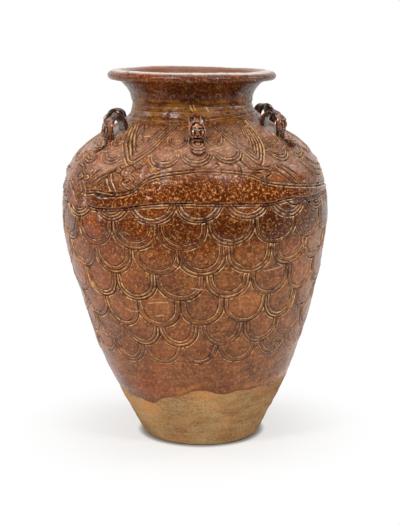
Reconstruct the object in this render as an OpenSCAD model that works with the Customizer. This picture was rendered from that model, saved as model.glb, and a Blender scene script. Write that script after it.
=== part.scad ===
// Tall glazed stoneware storage jar with six masked lugs round its shoulder.
// The wall is raised in four courses on a slab, then closed by a neck collar and a flared rim.
// Lengths are in millimetres and angles in degrees. The jar stands on z = 0.
// Shapes of the wall are given on the jar's own axis, which leans a little to the left.

/* [Foot and belly] */
// Radius at the floor, before its edge is rounded
foot_r = 95; // [80:1:110]
// Radius of the rounded edge under the foot
foot_round = 6; // [3:0.5:10]
// Distance in from the foot's radius to the edge of its flat underside
foot_inset = 4; // [3:0.5:6]
// Angle of the wall from upright where it leaves the foot
foot_flare = 28; // [22:1:32]
// Largest radius of the jar
belly_r = 216; // [180:1:260]
// Height of the largest radius
belly_z = 368; // [320:2:420]
// How long the lower wall stays straight, as a share of the belly's height
lower_reach = 0.60; // [0.5:0.05:0.65]
// How long the belly stays upright below its widest line
belly_reach = 30; // [15:5:80]

/* [Shoulder] */
// Rise from the widest line to the line where the shoulder meets the neck
shoulder_rise = 156; // [130:2:190]
// Radius where the shoulder meets the neck, beyond the neck's own radius
shoulder_step = 15; // [10:1:24]
// Slope of the shoulder below level where it meets the neck
shoulder_slope = 32; // [25:1:40]
// How long the belly stays upright above its widest line
belly_rise_reach = 114; // [80:2:130]
// How long the shoulder stays straight below the neck
shoulder_reach = 69; // [50:1:85]

/* [Neck and rim] */
// Outside radius of the neck at its narrowest
neck_r = 97; // [84:1:112]
// Height of the neck from the shoulder to its narrowest line
neck_rise = 27; // [22:1:40]
// How long the shoulder's slope runs on into the neck
neck_foot_reach = 12; // [8:1:14]
// How long the neck stays upright below its narrowest line
neck_reach = 15; // [8:1:18]
// Height of the flared mouth above the narrowest line
rim_rise = 49; // [40:1:62]
// Width of the rim beyond the neck's radius
rim_reach = 37.5; // [28:0.5:46]
// Width of the flare beyond the neck's radius where it meets the lip's underside
flare_w = 15; // [10:0.5:20]
// Radius of the lip's outer edge
lip_round = 6.5; // [4:0.5:8]
// Height of the lip's underside below the crest where the flare meets it
lip_depth = 20; // [16:0.5:24]
// Distance from the lip's outer edge in to the crest
crest_inset = 15; // [11:0.5:18]
// Width of the lip's top, from its outer edge to the mouth
lip_width = 31; // [24:1:36]
// Height of the crest above the top of the lip's outer edge
crest_rise = 3; // [1:0.5:5]
// Height of the crest above the edge of the mouth
mouth_drop = 6; // [3:0.5:9]

/* [Walls] */
// Thickness of the slab under the jar
slab_t = 15; // [10:1:22]
// Thickness of the wall at the foot
foot_wall = 13; // [9:0.5:16]
// Thickness of the wall at the belly
belly_wall = 11; // [7:0.5:14]
// Thickness of the wall at the neck
neck_wall = 9; // [6:0.5:12]
// Height of the joint between the foot course and the lower course
foot_joint_z = 122; // [80:2:150]
// Height of the joint between the lower course and the belly course
lower_joint_z = 262; // [200:2:300]
// Height above the widest line of the joint between belly and shoulder courses
upper_joint_rise = 34; // [10:2:60]

/* [Lean] */
// Lean of the jar's axis to the left
lean = 1.7; // [0:0.1:3]
// Tilt of the rim back against the lean, measured from the jar's axis
rim_tilt = 2.2; // [0:0.1:3]

/* [Lugs] */
// Turn of the ring of lugs about the jar's axis, from dead ahead
lug_turn = 3; // [-15:1:15]
// Distance of the loops' centre beyond the neck's radius
lug_reach = 44.5; // [40:0.5:60]
// Height of the loops' upper centre below the neck's foot
lug_drop = 8.5; // [6:0.5:12]
// Outside radius of a loop
loop_r = 15; // [13:0.5:18]
// Radius of the cord hole's rounded top
hole_r = 9.5; // [7:0.5:10.5]
// Distance of the hole's top centre below the loop's own
hole_drop = 2; // [0:0.5:3]
// Width of the strap that the loop is bent from
strap_w = 24; // [18:1:28]
// Length of the loop's straight legs below its centre
leg_l = 34; // [30:1:40]

/* [Masks and pads] */
// Width of a mask across its cheeks
mask_w = 30; // [26:1:34]
// Radius of the mask's domed face
mask_dome = 26.5; // [25:0.5:30]
// Distance that the dome's centre sits in from the loop's centre
mask_inset = 4.5; // [3:0.5:6]
// Distance from the loop's centre out to the mask's flat back
mask_back = 5; // [2:0.5:8]
// Height of the mask's top above the strap
mask_rise = 3.5; // [1:0.5:5]
// Radius of the nose's tip
nose_r = 4.4; // [3:0.2:5.5]
// Radius of an eye
eye_r = 3.2; // [2:0.2:4]
// Radius of a cheek
cheek_r = 3.3; // [2.8:0.1:3.6]
// Distance from the strap out to where the pad starts under the mask
pad_gap = 4; // [2:0.5:8]
// Thickness of the pad below a mask
pad_t = 4.5; // [3:0.5:6]
// Width of the pad
pad_w = 24; // [18:1:28]
// Reach of the pad beyond the loop's centre line
pad_reach = 39; // [34:1:46]

/* [Hidden] */
$fn = 96;
bump_fn = 24;
foot_steps = 8;
lower_steps = 8;
belly_steps = 12;
shoulder_steps = 14;
neck_steps = 8;
core_overlap = 12;
cut_margin = 1;

shoulder_z = belly_z + shoulder_rise;
shoulder_r = neck_r + shoulder_step;
neck_z = shoulder_z + neck_rise;
rim_r = neck_r + rim_reach;
upper_joint_z = belly_z + upper_joint_rise;
lean_shift = belly_z * sin(lean);
lug_r = neck_r + lug_reach;
lug_z = shoulder_z - lug_drop;

lug_places = ["front", "front_right", "back_right", "back", "back_left", "front_left"];
function lug_angle(i) = -90 + lug_turn + i * 360 / len(lug_places);

// Cubic curve through its first and last point, drawn towards the two between
function curve_at(p, t) =
    pow(1 - t, 3) * p[0] + 3 * t * pow(1 - t, 2) * p[1] + 3 * t * t * (1 - t) * p[2] + pow(t, 3) * p[3];
function curve_direction(p, t) =
    let (d = pow(1 - t, 2) * (p[1] - p[0]) + 2 * t * (1 - t) * (p[2] - p[1]) + t * t * (p[3] - p[2]))
    d / norm(d);
function curve(p, steps) = [for (i = [0 : steps]) curve_at(p, i / steps)];
function where_height(p, z, low = 0, high = 1, n = 30) =
    n == 0 ? (low + high) / 2
    : let (mid = (low + high) / 2)
      curve_at(p, mid)[1] < z ? where_height(p, z, mid, high, n - 1) : where_height(p, z, low, mid, n - 1);
function arc(centre, r, from, to, steps) =
    [for (i = [0 : steps]) let (a = from + (to - from) * i / steps) centre + r * [cos(a), sin(a)]];
function reversed(list) = [for (i = [len(list) - 1 : -1 : 0]) list[i]];

// The wall's outside, from floor to neck, in three curves of [radius, height]
lower_curve = [
    [foot_r, 0],
    [foot_r, 0] + lower_reach * belly_z * [sin(foot_flare), cos(foot_flare)],
    [belly_r, belly_z - belly_reach],
    [belly_r, belly_z]];
shoulder_curve = [
    [belly_r, belly_z],
    [belly_r, belly_z + belly_rise_reach],
    [shoulder_r, shoulder_z] + shoulder_reach * [cos(shoulder_slope), -sin(shoulder_slope)],
    [shoulder_r, shoulder_z]];
neck_curve = [
    [shoulder_r, shoulder_z],
    [shoulder_r, shoulder_z] + neck_foot_reach * [-cos(shoulder_slope), sin(shoulder_slope)],
    [neck_r, neck_z - neck_reach],
    [neck_r, neck_z]];

function curve_for(z) = z < belly_z ? lower_curve : z < shoulder_z ? shoulder_curve : neck_curve;
function wall_t(z) = lookup(z, [[slab_t, foot_wall], [belly_z, belly_wall], [neck_z, neck_wall]]);
function outside(z) = let (c = curve_for(z)) curve_at(c, where_height(c, z));
function inside(z) =
    let (c = curve_for(z), t = where_height(c, z), d = curve_direction(c, t))
    curve_at(c, t) + wall_t(z) * [-d[1], d[0]];
function heights(from, to, steps) = [for (i = [0 : steps]) from + (to - from) * i / steps];

// The mouth above the neck's narrowest line, with heights counted from that line
throat = [neck_r - neck_wall, 0];
flare_foot = [neck_r, 0];
flare_top = [neck_r + flare_w, rim_rise - lip_depth];
lip_centre = [rim_r - lip_round, rim_rise - crest_rise - lip_round];
lip_start_angle = -75;
lip_end_angle = 60;
lip_start = lip_centre + lip_round * [cos(lip_start_angle), sin(lip_start_angle)];
lip_end = lip_centre + lip_round * [cos(lip_end_angle), sin(lip_end_angle)];
crest = [rim_r - crest_inset, rim_rise];
mouth_edge = [rim_r - lip_width, rim_rise - mouth_drop];

// How far each curve of the mouth runs on straight from its ends
flare_foot_handle = [0, 14];
flare_top_handle = [7, 8];
underside_handle = [4, 3.5];
lip_start_handle = [8, 1.5];
lip_end_handle = [-2.5, 1.4];
crest_outer_handle = [4, 0];
crest_inner_handle = [6, 0];
mouth_upper_handle = [2.5, 5];
mouth_lower_handle = [4.5, 9];
throat_handle = [0, 20];
rim_outline = concat(
    curve([flare_foot, flare_foot + flare_foot_handle, flare_top - flare_top_handle, flare_top], 10),
    curve([flare_top, flare_top + underside_handle, lip_start - lip_start_handle, lip_start], 5),
    arc(lip_centre, lip_round, lip_start_angle + 5, lip_end_angle - 5, 8),
    curve([lip_end, lip_end + lip_end_handle, crest + crest_outer_handle, crest], 4),
    curve([crest, crest - crest_inner_handle, mouth_edge + mouth_upper_handle, mouth_edge], 6),
    curve([mouth_edge, mouth_edge - mouth_lower_handle, throat + throat_handle, throat], 9));

module leaned() translate([lean_shift, 0, 0]) rotate([0, -lean, 0]) children();
module round_neck_line() translate([0, 0, neck_z]) rotate([0, rim_tilt, 0]) children();
module above_floor(from, to) translate([-2 * belly_r, -2 * belly_r, from]) cube([4 * belly_r, 4 * belly_r, to - from]);

module course(from, to, steps) {
    levels = heights(from, to, steps);
    rotate_extrude() polygon(concat(
        [for (z = levels) outside(z)],
        reversed([for (z = levels) inside(z)])));
}

// Everything inside the outside surface, so that what sits on the wall is cut to it
module core() {
    below_floor = [foot_r, 0] - core_overlap * [sin(foot_flare), cos(foot_flare)];
    levels = concat(
        heights(0, foot_joint_z, foot_steps),
        heights(foot_joint_z, lower_joint_z, lower_steps),
        heights(lower_joint_z, upper_joint_z, belly_steps),
        heights(upper_joint_z, shoulder_z, shoulder_steps));
    rotate_extrude() polygon(concat(
        [[0, below_floor[1]], below_floor],
        [for (z = levels) outside(z)],
        [[0, shoulder_z]]));
}

// Rounded underside of the foot, opening outwards at 45 degrees beyond its edge
module foot_cutter() {
    round_centre = [foot_r - foot_inset, foot_round];
    round_end = round_centre + foot_round * [cos(-45), sin(-45)];
    rotate_extrude() polygon(concat(
        [[0, 2 * slab_t], [0, 0]],
        arc(round_centre, foot_round, -90, -45, 4),
        [round_end + 2 * slab_t * [1, 1]]));
}

module base_slab() color([0.62, 0.43, 0.27])
    intersection() {
        leaned() core();
        translate([lean_shift + slab_t * sin(foot_flare) * sin(lean), 0, 0]) foot_cutter();
        above_floor(0, slab_t);
    }

module foot_course() color([0.60, 0.40, 0.24])
    intersection() {
        leaned() course(0, foot_joint_z, foot_steps);
        above_floor(slab_t, belly_z);
    }

module lower_course() color([0.50, 0.26, 0.12]) leaned() course(foot_joint_z, lower_joint_z, lower_steps);

module belly_course() color([0.46, 0.22, 0.10])
    leaned() course(lower_joint_z, upper_joint_z, belly_steps);

module shoulder_course() color([0.48, 0.25, 0.13]) leaned() course(upper_joint_z, shoulder_z, shoulder_steps);

module neck_collar() color([0.52, 0.32, 0.14]) {
    levels = heights(shoulder_z, neck_z, neck_steps);
    above_line = neck_z + core_overlap;
    leaned() difference() {
        rotate_extrude() polygon(concat(
            [for (z = levels) outside(z)],
            [[neck_r, above_line], [neck_r - neck_wall, above_line]],
            reversed([for (z = levels) inside(z)])));
        round_neck_line() above_floor(0, 4 * core_overlap);
    }
}

module rim() color([0.60, 0.42, 0.34]) leaned() round_neck_line() rotate_extrude() polygon(rim_outline);

// Lug shapes stand in the plane of radius and height, and then turn to their place on the shoulder
module lug_place(i) leaned() rotate([0, 0, lug_angle(i)]) translate([lug_r, 0, lug_z]) children();
module upright(width) rotate([90, 0, 0]) linear_extrude(width, center = true) children();

module legged_round(r, drop) {
    translate([0, -drop]) circle(r);
    translate([-r, -leg_l]) square([2 * r, leg_l - drop]);
}

module loop_solid(width) upright(width) legged_round(loop_r, 0);

module cut_to_shoulder() difference() {
    children();
    leaned() core();
}

module lug_loop(i) color([0.27, 0.15, 0.09])
    cut_to_shoulder() lug_place(i) difference() {
        loop_solid(strap_w);
        upright(strap_w + 2 * cut_margin) legged_round(hole_r, hole_drop);
    }

// Puts a feature on the mask's dome, at a distance to one side and above the dome's centre
module on_face(side, up, sink = 0)
    translate([sqrt(mask_dome * mask_dome - side * side - up * up) - mask_inset - sink, side, up - hole_drop])
        children();

// A ball whose seam faces the jar, away from the face
module turned_sphere(r) rotate([0, 0, 180]) sphere(r);

// Brows, eyes, cheeks, nose, forehead, chin and the curls of the mane, on the dome
module mask_face() {
    $fn = bump_fn;
    curl_r = 3.2;
    forehead_r = 4;
    chin_r = 5.4;
    brow_r = 4.6;
    brow_t = 1.8;
    bridge_l = 11;
    bridge_foot_r = 3.2;
    bridge_tip_r = 2.2;
    bridge_slope = 20;
    // Distance to the side, height, depth sunk in and radius of each bump
    paired_bumps = [
        [6.6, 4.5, 0.9, eye_r],
        [9.2, -3, 1.2, cheek_r],
        [10.4, 14, 1.6, curl_r]];
    middle_bumps = [
        [0, -1, 1, nose_r],
        [0, -12.5, 2.4, chin_r],
        [0, 17, 1.5, forehead_r]];
    for (b = middle_bumps) on_face(b[0], b[1], b[2]) turned_sphere(b[3]);
    for (s = [-1, 1]) {
        for (b = paired_bumps) on_face(s * b[0], b[1], b[2]) turned_sphere(b[3]);
        on_face(s * 6.8, 6.5, 0.4) rotate([0, 90, 0])
            rotate_extrude(angle = 180, start = 90) translate([brow_r, 0]) circle(brow_t);
    }
    on_face(0, 1, 0.9) rotate([0, -bridge_slope, 0]) cylinder(h = bridge_l, r1 = bridge_foot_r, r2 = bridge_tip_r);
}

module lug_mask(i) color([0.22, 0.11, 0.07])
    difference() {
        cut_to_shoulder() lug_place(i) difference() {
            union() {
                intersection() {
                    translate([-mask_inset, 0, -hole_drop]) turned_sphere(mask_dome);
                    translate([mask_back, -mask_w / 2, -leg_l])
                        cube([3 * loop_r, mask_w, leg_l + loop_r + mask_rise]);
                }
                mask_face();
            }
            loop_solid(2 * mask_w);
        }
        lug_pad(i);
    }

// A band of clay that follows the shoulder's outside
module shoulder_skin() {
    levels = heights(upper_joint_z, shoulder_z, shoulder_steps);
    rotate_extrude() polygon(concat(
        [for (z = levels) outside(z)],
        reversed([for (z = levels)
            let (d = curve_direction(shoulder_curve, where_height(shoulder_curve, z)))
            outside(z) + pad_t * [d[1], -d[0]]])));
}

// A tongue with a straight inner end and a round outer one
module pad_outline() {
    start = loop_r + pad_gap;
    round_start = pad_reach - pad_w / 2;
    translate([start, -pad_w / 2]) square([round_start - start, pad_w]);
    intersection() {
        translate([round_start, 0]) circle(pad_w / 2);
        translate([round_start - cut_margin, -pad_w]) square([pad_w, 2 * pad_w]);
    }
}

module lug_pad(i) color([0.45, 0.24, 0.11])
    intersection() {
        leaned() shoulder_skin();
        lug_place(i) translate([0, 0, -2 * leg_l]) linear_extrude(3 * leg_l) pad_outline();
    }

base_slab();
foot_course();
lower_course();
belly_course();
shoulder_course();
neck_collar();
rim();
for (i = [0 : len(lug_places) - 1]) {
    lug_loop(i);
    lug_mask(i);
    lug_pad(i);
}
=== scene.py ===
import math
import bpy
import numpy as np
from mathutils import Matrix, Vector


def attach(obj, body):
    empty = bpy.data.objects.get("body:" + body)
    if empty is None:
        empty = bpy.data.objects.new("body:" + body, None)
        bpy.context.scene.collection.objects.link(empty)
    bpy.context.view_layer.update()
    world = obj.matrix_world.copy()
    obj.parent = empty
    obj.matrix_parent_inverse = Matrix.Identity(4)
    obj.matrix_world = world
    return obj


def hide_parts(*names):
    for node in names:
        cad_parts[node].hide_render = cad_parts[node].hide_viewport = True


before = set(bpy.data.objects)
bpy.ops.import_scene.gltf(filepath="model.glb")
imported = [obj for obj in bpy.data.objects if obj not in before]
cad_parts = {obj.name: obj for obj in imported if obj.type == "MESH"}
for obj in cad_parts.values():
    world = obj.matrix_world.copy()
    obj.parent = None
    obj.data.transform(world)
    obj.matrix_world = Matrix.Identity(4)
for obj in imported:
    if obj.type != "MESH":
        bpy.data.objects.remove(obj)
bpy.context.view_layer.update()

print("stage: frame loaded")

# The jar is worked out in millimetres on its own axis and turned into metres at the end.
# A "turn" is the angle round the jar in degrees, 0 at the front and growing to the right.
jar = {
    "footRadius": 95, "footInset": 4, "footBulge": 1.5, "flare": 28, "lowerReach": 0.60,
    "bellyRadius": 216, "bellyHeight": 368, "bellyReach": 30, "bellyRiseReach": 114,
    "shoulderRadius": 112, "shoulderHeight": 524, "shoulderSlope": 32, "shoulderReach": 69,
    "neckRadius": 97, "neckHeight": 551, "neckFootReach": 12, "neckReach": 15,
    "footWall": 13, "bellyWall": 11, "neckWall": 9,
    "lean": 1.7, "rimTilt": 2.2,
}
mouth = {
    "rise": 49, "reach": 37.5, "flareWidth": 15, "lipDepth": 20, "lipRound": 6.5, "lipDrop": 3,
    "crestInset": 15, "lipWidth": 31, "mouthDrop": 6, "lipArc": [-75, 60],
    # how each stretch of the outline leaves its start and comes to its end
    "flare": [[0, 14], [-7, -8]], "under": [[4, 3.5], [-8, -1.5]], "top": [[-2.5, 1.4], [4, 0]],
    "inner": [[-6, 0], [2.5, 5]], "throat": [[-4.5, -9], [0, 20]],
}
curveSteps = {"lower": 600, "upper": 400, "neck": 80, "flare": 60, "under": 30, "lip": 40, "top": 20,
              "inner": 30, "throat": 60}
# The hidden inside of the wall is coarser than the outside
weave = {"columns": 960, "insideColumns": 240, "insideRows": 8, "rimRows": 100}
# Rings on the slab's flat sides, as shares of its radius, and the height that its materials read there
slab = {"rings": [0.93, 0.75, 0.55, 0.35, 0.15], "height": 10}
# From the floor up, each with the height of its top and its rows of faces
courses = [
    {"piece": "slab", "node": "base_slab", "slot": "bare_clay", "to": 15, "rows": 14},
    {"piece": "footCourse", "node": "foot_course", "slot": "foot_glaze_edge", "to": 122, "rows": 88},
    {"piece": "lowerCourse", "node": "lower_course", "slot": "brown_glaze", "to": 262, "rows": 99},
    {"piece": "bellyCourse", "node": "belly_course", "slot": "brown_glaze", "to": 402, "rows": 99},
    {"piece": "shoulderCourse", "node": "shoulder_course", "slot": "brown_glaze", "to": 524, "rows": 99},
    {"piece": "neckCollar", "node": "neck_collar", "slot": "amber_glaze", "to": 551, "rows": 26},
]

lean = math.radians(jar["lean"])
rimTilt = math.radians(jar["rimTilt"])
leanShift = jar["bellyHeight"] * math.sin(lean)
mm = 0.001


def cubic(points, steps):
    p = np.array(points, float)
    t = np.linspace(0, 1, steps + 1)[:, None]
    return (1 - t)**3 * p[0] + 3 * t * (1 - t)**2 * p[1] + 3 * t * t * (1 - t) * p[2] + t**3 * p[3]


# Outside of the wall as [radius, height] from floor to neck, on the same curves as the solid parts
def wallOutline():
    flare, slope = math.radians(jar["flare"]), math.radians(jar["shoulderSlope"])
    foot = np.array([jar["footRadius"], 0])
    belly = np.array([jar["bellyRadius"], jar["bellyHeight"]])
    shoulder = np.array([jar["shoulderRadius"], jar["shoulderHeight"]])
    neck = np.array([jar["neckRadius"], jar["neckHeight"]])
    up = np.array([0, 1])
    out = np.array([math.cos(slope), -math.sin(slope)])
    rise = jar["lowerReach"] * jar["bellyHeight"] * np.array([math.sin(flare), math.cos(flare)])
    stretches = {
        "lower": [foot, foot + rise, belly - jar["bellyReach"] * up, belly],
        "upper": [belly, belly + jar["bellyRiseReach"] * up, shoulder + jar["shoulderReach"] * out, shoulder],
        "neck": [shoulder, shoulder - jar["neckFootReach"] * out, neck - jar["neckReach"] * up, neck],
    }
    return np.vstack([[foot]] + [cubic(corners, curveSteps[name])[1:] for name, corners in stretches.items()])


# The mouth above the neck: up the flare, over the lip and down to the throat
def rimOutline():
    radius, m = jar["neckRadius"], mouth
    rimRadius = radius + m["reach"]
    foot = np.array([radius, 0])
    flareTop = np.array([radius + m["flareWidth"], m["rise"] - m["lipDepth"]])
    lipCentre = np.array([rimRadius - m["lipRound"], m["rise"] - m["lipDrop"] - m["lipRound"]])
    angles = np.radians(np.linspace(*m["lipArc"], curveSteps["lip"]))
    lip = lipCentre + m["lipRound"] * np.stack([np.cos(angles), np.sin(angles)], 1)
    crest = np.array([rimRadius - m["crestInset"], m["rise"]])
    edge = np.array([rimRadius - m["lipWidth"], m["rise"] - m["mouthDrop"]])
    throat = np.array([radius - jar["neckWall"], 0])

    def bend(name, start, end):
        leaving, coming = m[name]
        return cubic([start, start + leaving, end + coming, end], curveSteps[name])[1:]

    stretches = [[foot], bend("flare", foot, flareTop), bend("under", flareTop, lip[0]), lip[1:],
                 bend("top", lip[-1], crest), bend("inner", crest, edge), bend("throat", edge, throat)]
    return np.vstack(stretches) + [0, jar["neckHeight"]]


wall = wallOutline()
outline = np.vstack([wall, rimOutline()[1:]])
outlineLength = np.concatenate([[0], np.cumsum(np.linalg.norm(np.diff(outline, axis=0), axis=1))])
wallLength = outlineLength[:len(wall)]
slopes = np.gradient(outline, outlineLength, axis=0)
slopes /= np.linalg.norm(slopes, axis=1)[:, None]


def lengthAt(height):
    return np.interp(height, wall[:, 1], wallLength)


def radiusAt(height):
    return np.interp(height, wall[:, 1], wall[:, 0])


# A width in mm at some height, as degrees round the jar
def inDegrees(width, height):
    return width / math.radians(1) / radiusAt(height)


# The way out of the wall at a length along the outline, as [radius, height]
def normalAt(length):
    return np.stack([np.interp(length, outlineLength, slopes[:, 1]),
                     -np.interp(length, outlineLength, slopes[:, 0])], -1)


# One long grid runs from the floor to the throat, so neighbouring courses share their edge exactly
lengths, starts = [np.array([0.0])], [0]
for course in courses:
    lengths.append(np.linspace(lengths[-1][-1], lengthAt(course["to"]), course["rows"] + 1)[1:])
    starts.append(starts[-1] + course["rows"])
lengths.append(np.linspace(wallLength[-1], outlineLength[-1], weave["rimRows"] + 1)[1:])
lengths = np.concatenate(lengths)
rowRadius = np.interp(lengths, outlineLength, outline[:, 0])
rowHeight = np.interp(lengths, outlineLength, outline[:, 1])
rowNormal = normalAt(lengths)
rowNormal /= np.linalg.norm(rowNormal, axis=1)[:, None]
columns = weave["columns"]
turns = np.arange(columns) * 360 / columns - 180
rows = len(lengths)
onWall = (np.arange(rows) <= starts[-1])[:, None]
print("stage: grid of", rows, "rows and", columns, "columns")


# Points on the jar's own axis, leaned over and turned into metres
def leaned(x, y, z):
    return np.stack([leanShift + x * math.cos(lean) - z * math.sin(lean), y,
                     x * math.sin(lean) + z * math.cos(lean)], -1) * mm


# A point of the jar in metres, from its radius and height; the mouth tilts a little to the right
def placePoints(radius, turn, height):
    angle = np.radians(turn - 90)
    x, y = radius * np.cos(angle), radius * np.sin(angle)
    tilt = rimTilt * smooth(jar["shoulderHeight"], jar["neckHeight"], height)
    above = height - jar["neckHeight"]
    return leaned(x * np.cos(tilt) + above * np.sin(tilt), y,
                  above * np.cos(tilt) - x * np.sin(tilt) + jar["neckHeight"])


def smooth(edgeLow, edgeHigh, x):
    t = np.clip((x - edgeLow) / (edgeHigh - edgeLow), 0, 1)
    return t * t * (3 - 2 * t)


# Even noise over the grid, of unit size, with patches about so many rows and columns across
def patches(seed, rowSize, columnSize):
    white = np.random.default_rng(seed).standard_normal((rows, columns))
    down = np.fft.fftfreq(rows)[:, None] * rowSize
    across = np.fft.rfftfreq(columns)[None, :] * columnSize
    soft = np.fft.irfft2(np.fft.rfft2(white) * np.exp(-(down**2 + across**2) * 2), s=white.shape)
    return soft / soft.std()


# Layers of such noise, each given as [seed, rows, columns, amount]
def layered(layers):
    return sum(patches(seed, rowSize, columnSize) * amount for seed, rowSize, columnSize, amount in layers)


# Signed degrees from one turn to every column, and the distance in mm from a spot to every grid point
def sideOf(turn):
    return (turns - turn + 180) % 360 - 180


def awayFrom(turn, height):
    return np.hypot(np.radians(sideOf(turn))[None, :] * radiusAt(height), (rowHeight - height)[:, None])


# A soft curve through the points p, with a number of steps for each span
def softCurve(p, stepsFor):
    p = np.vstack([2 * p[0] - p[1], p, 2 * p[-1] - p[-2]])
    out = []
    for a, b, c, d in zip(p, p[1:], p[2:], p[3:]):
        t = np.linspace(0, 1, stepsFor(b, c), endpoint=False)[:, None]
        out.append(0.5 * (2 * b + (c - a) * t + (2 * a - 5 * b + 4 * c - d) * t * t
                          + (3 * b - a - 3 * c + d) * t**3))
    return np.vstack(out)


# Points [turn, height] along a soft curve through the given ones, under a millimetre apart
def drawn(points, closeness=0.8):
    def steps(b, c):
        across = math.radians(c[0] - b[0]) * radiusAt((b[1] + c[1]) / 2)
        return max(2, int(math.hypot(across, c[1] - b[1]) / closeness))
    return softCurve(np.array(points, float), steps)


strokes = []           # [points, depth] of every line that the potter cut


def cut(points, depth=1.0, turn=0.0):
    strokes.append([drawn(points) + [turn, 0], depth])


# Half a loop that hangs down to a lowest point
def hanging(centre, low, half, depth, span, step, skew=0.0):
    angles = np.radians(np.arange(-span, span + 1, step))
    return np.stack([centre + half * np.sin(angles),
                     low + depth * (1 - np.cos(angles)) + skew * np.sin(angles)], 1)


scales = {
    "perRow": 18,
    "bottoms": [384, 346, 305, 262, 222, 187, 157],   # height of the lowest point in each row
    "firstTurn": [3, 14.5, 3.2, 13.5, 2.8, 11.5, 1.2],
    "halfWidth": 9.7, "depth": 27, "arm": 14, "armLean": 0.2, "span": 90, "step": 15,
    # each comb's lines, as distances in from the scale's edge
    "combs": [[0, 5.5, 10.5], [0, 6.5], [0, 5.5], [0, 4.5, 9.5], [0, 8.5], [0, 5, 12], [0, 7]],
    # the first row's combs, in turn, are the richer ones
    "topCombs": [[0, 3.6, 8.5], [0, 5, 9.5], [0, 5, 10], [0, 4.6, 9.2, 13.8, 18.4], [0, 4.4, 8.8, 13.2, 17.6],
                 [0, 4, 9]],
    "narrowing": 0.9, "flattening": 0.3, "innerLine": 0.85, "gap": 1.5,
    # how unevenly they were drawn
    "shake": 0.5, "heightShake": 1.8, "widths": (0.95, 1.03), "depths": (0.92, 1.08),
    "strengths": (0.75, 1.1), "fullRows": 5, "faint": 0.8, "skew": 1.2,
}


def scaleRows(dice):
    above = None
    for k, bottom in enumerate(scales["bottoms"]):
        row = []
        for i in range(scales["perRow"]):
            centre = scales["firstTurn"][k] + i * 360 / scales["perRow"] + dice.normal(0, scales["shake"])
            row.append([centre, bottom + dice.normal(0, scales["heightShake"]),
                        scales["halfWidth"] * dice.uniform(*scales["widths"]),
                        scales["depth"] * dice.uniform(*scales["depths"])])
        for i, (centre, low, half, depth) in enumerate(row):
            comb = scales["combs"][dice.integers(len(scales["combs"]))]
            if k == 0:
                comb = scales["topCombs"][i % len(scales["topCombs"])]
            strength = dice.uniform(*scales["strengths"]) * (1 if k < scales["fullRows"] else scales["faint"])
            skew = dice.normal(0, scales["skew"])
            for inset in comb:
                narrow = half - inDegrees(inset * scales["narrowing"], low)
                u = hanging(centre, low + inset, narrow, depth - inset * scales["flattening"],
                            scales["span"], scales["step"], skew)
                u = np.vstack([u[0] + [-scales["armLean"], scales["arm"]], u,
                               u[-1] + [scales["armLean"], scales["arm"]]])
                line = drawn(u)
                pressed = strength * (1 if inset == 0 else scales["innerLine"])
                strokes.append([line[freeOfRow(line, above)], pressed])
        above = row


# True where a point isn't covered by a scale of the row above, or by a dragon
def freeOfRow(line, above):
    free = line[:, 1] < bodyBelow(line[:, 0]) - dragon["gap"]
    for centre, low, half, depth in above or []:
        side = (line[:, 0] - centre + 180) % 360 - 180
        inside = np.abs(side) < half
        lowEdge = low + depth * (1 - np.sqrt(np.clip(1 - (side / half)**2, 0, 1)))
        free &= ~(inside & (line[:, 1] > lowEdge - scales["gap"]))
    return free


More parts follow.
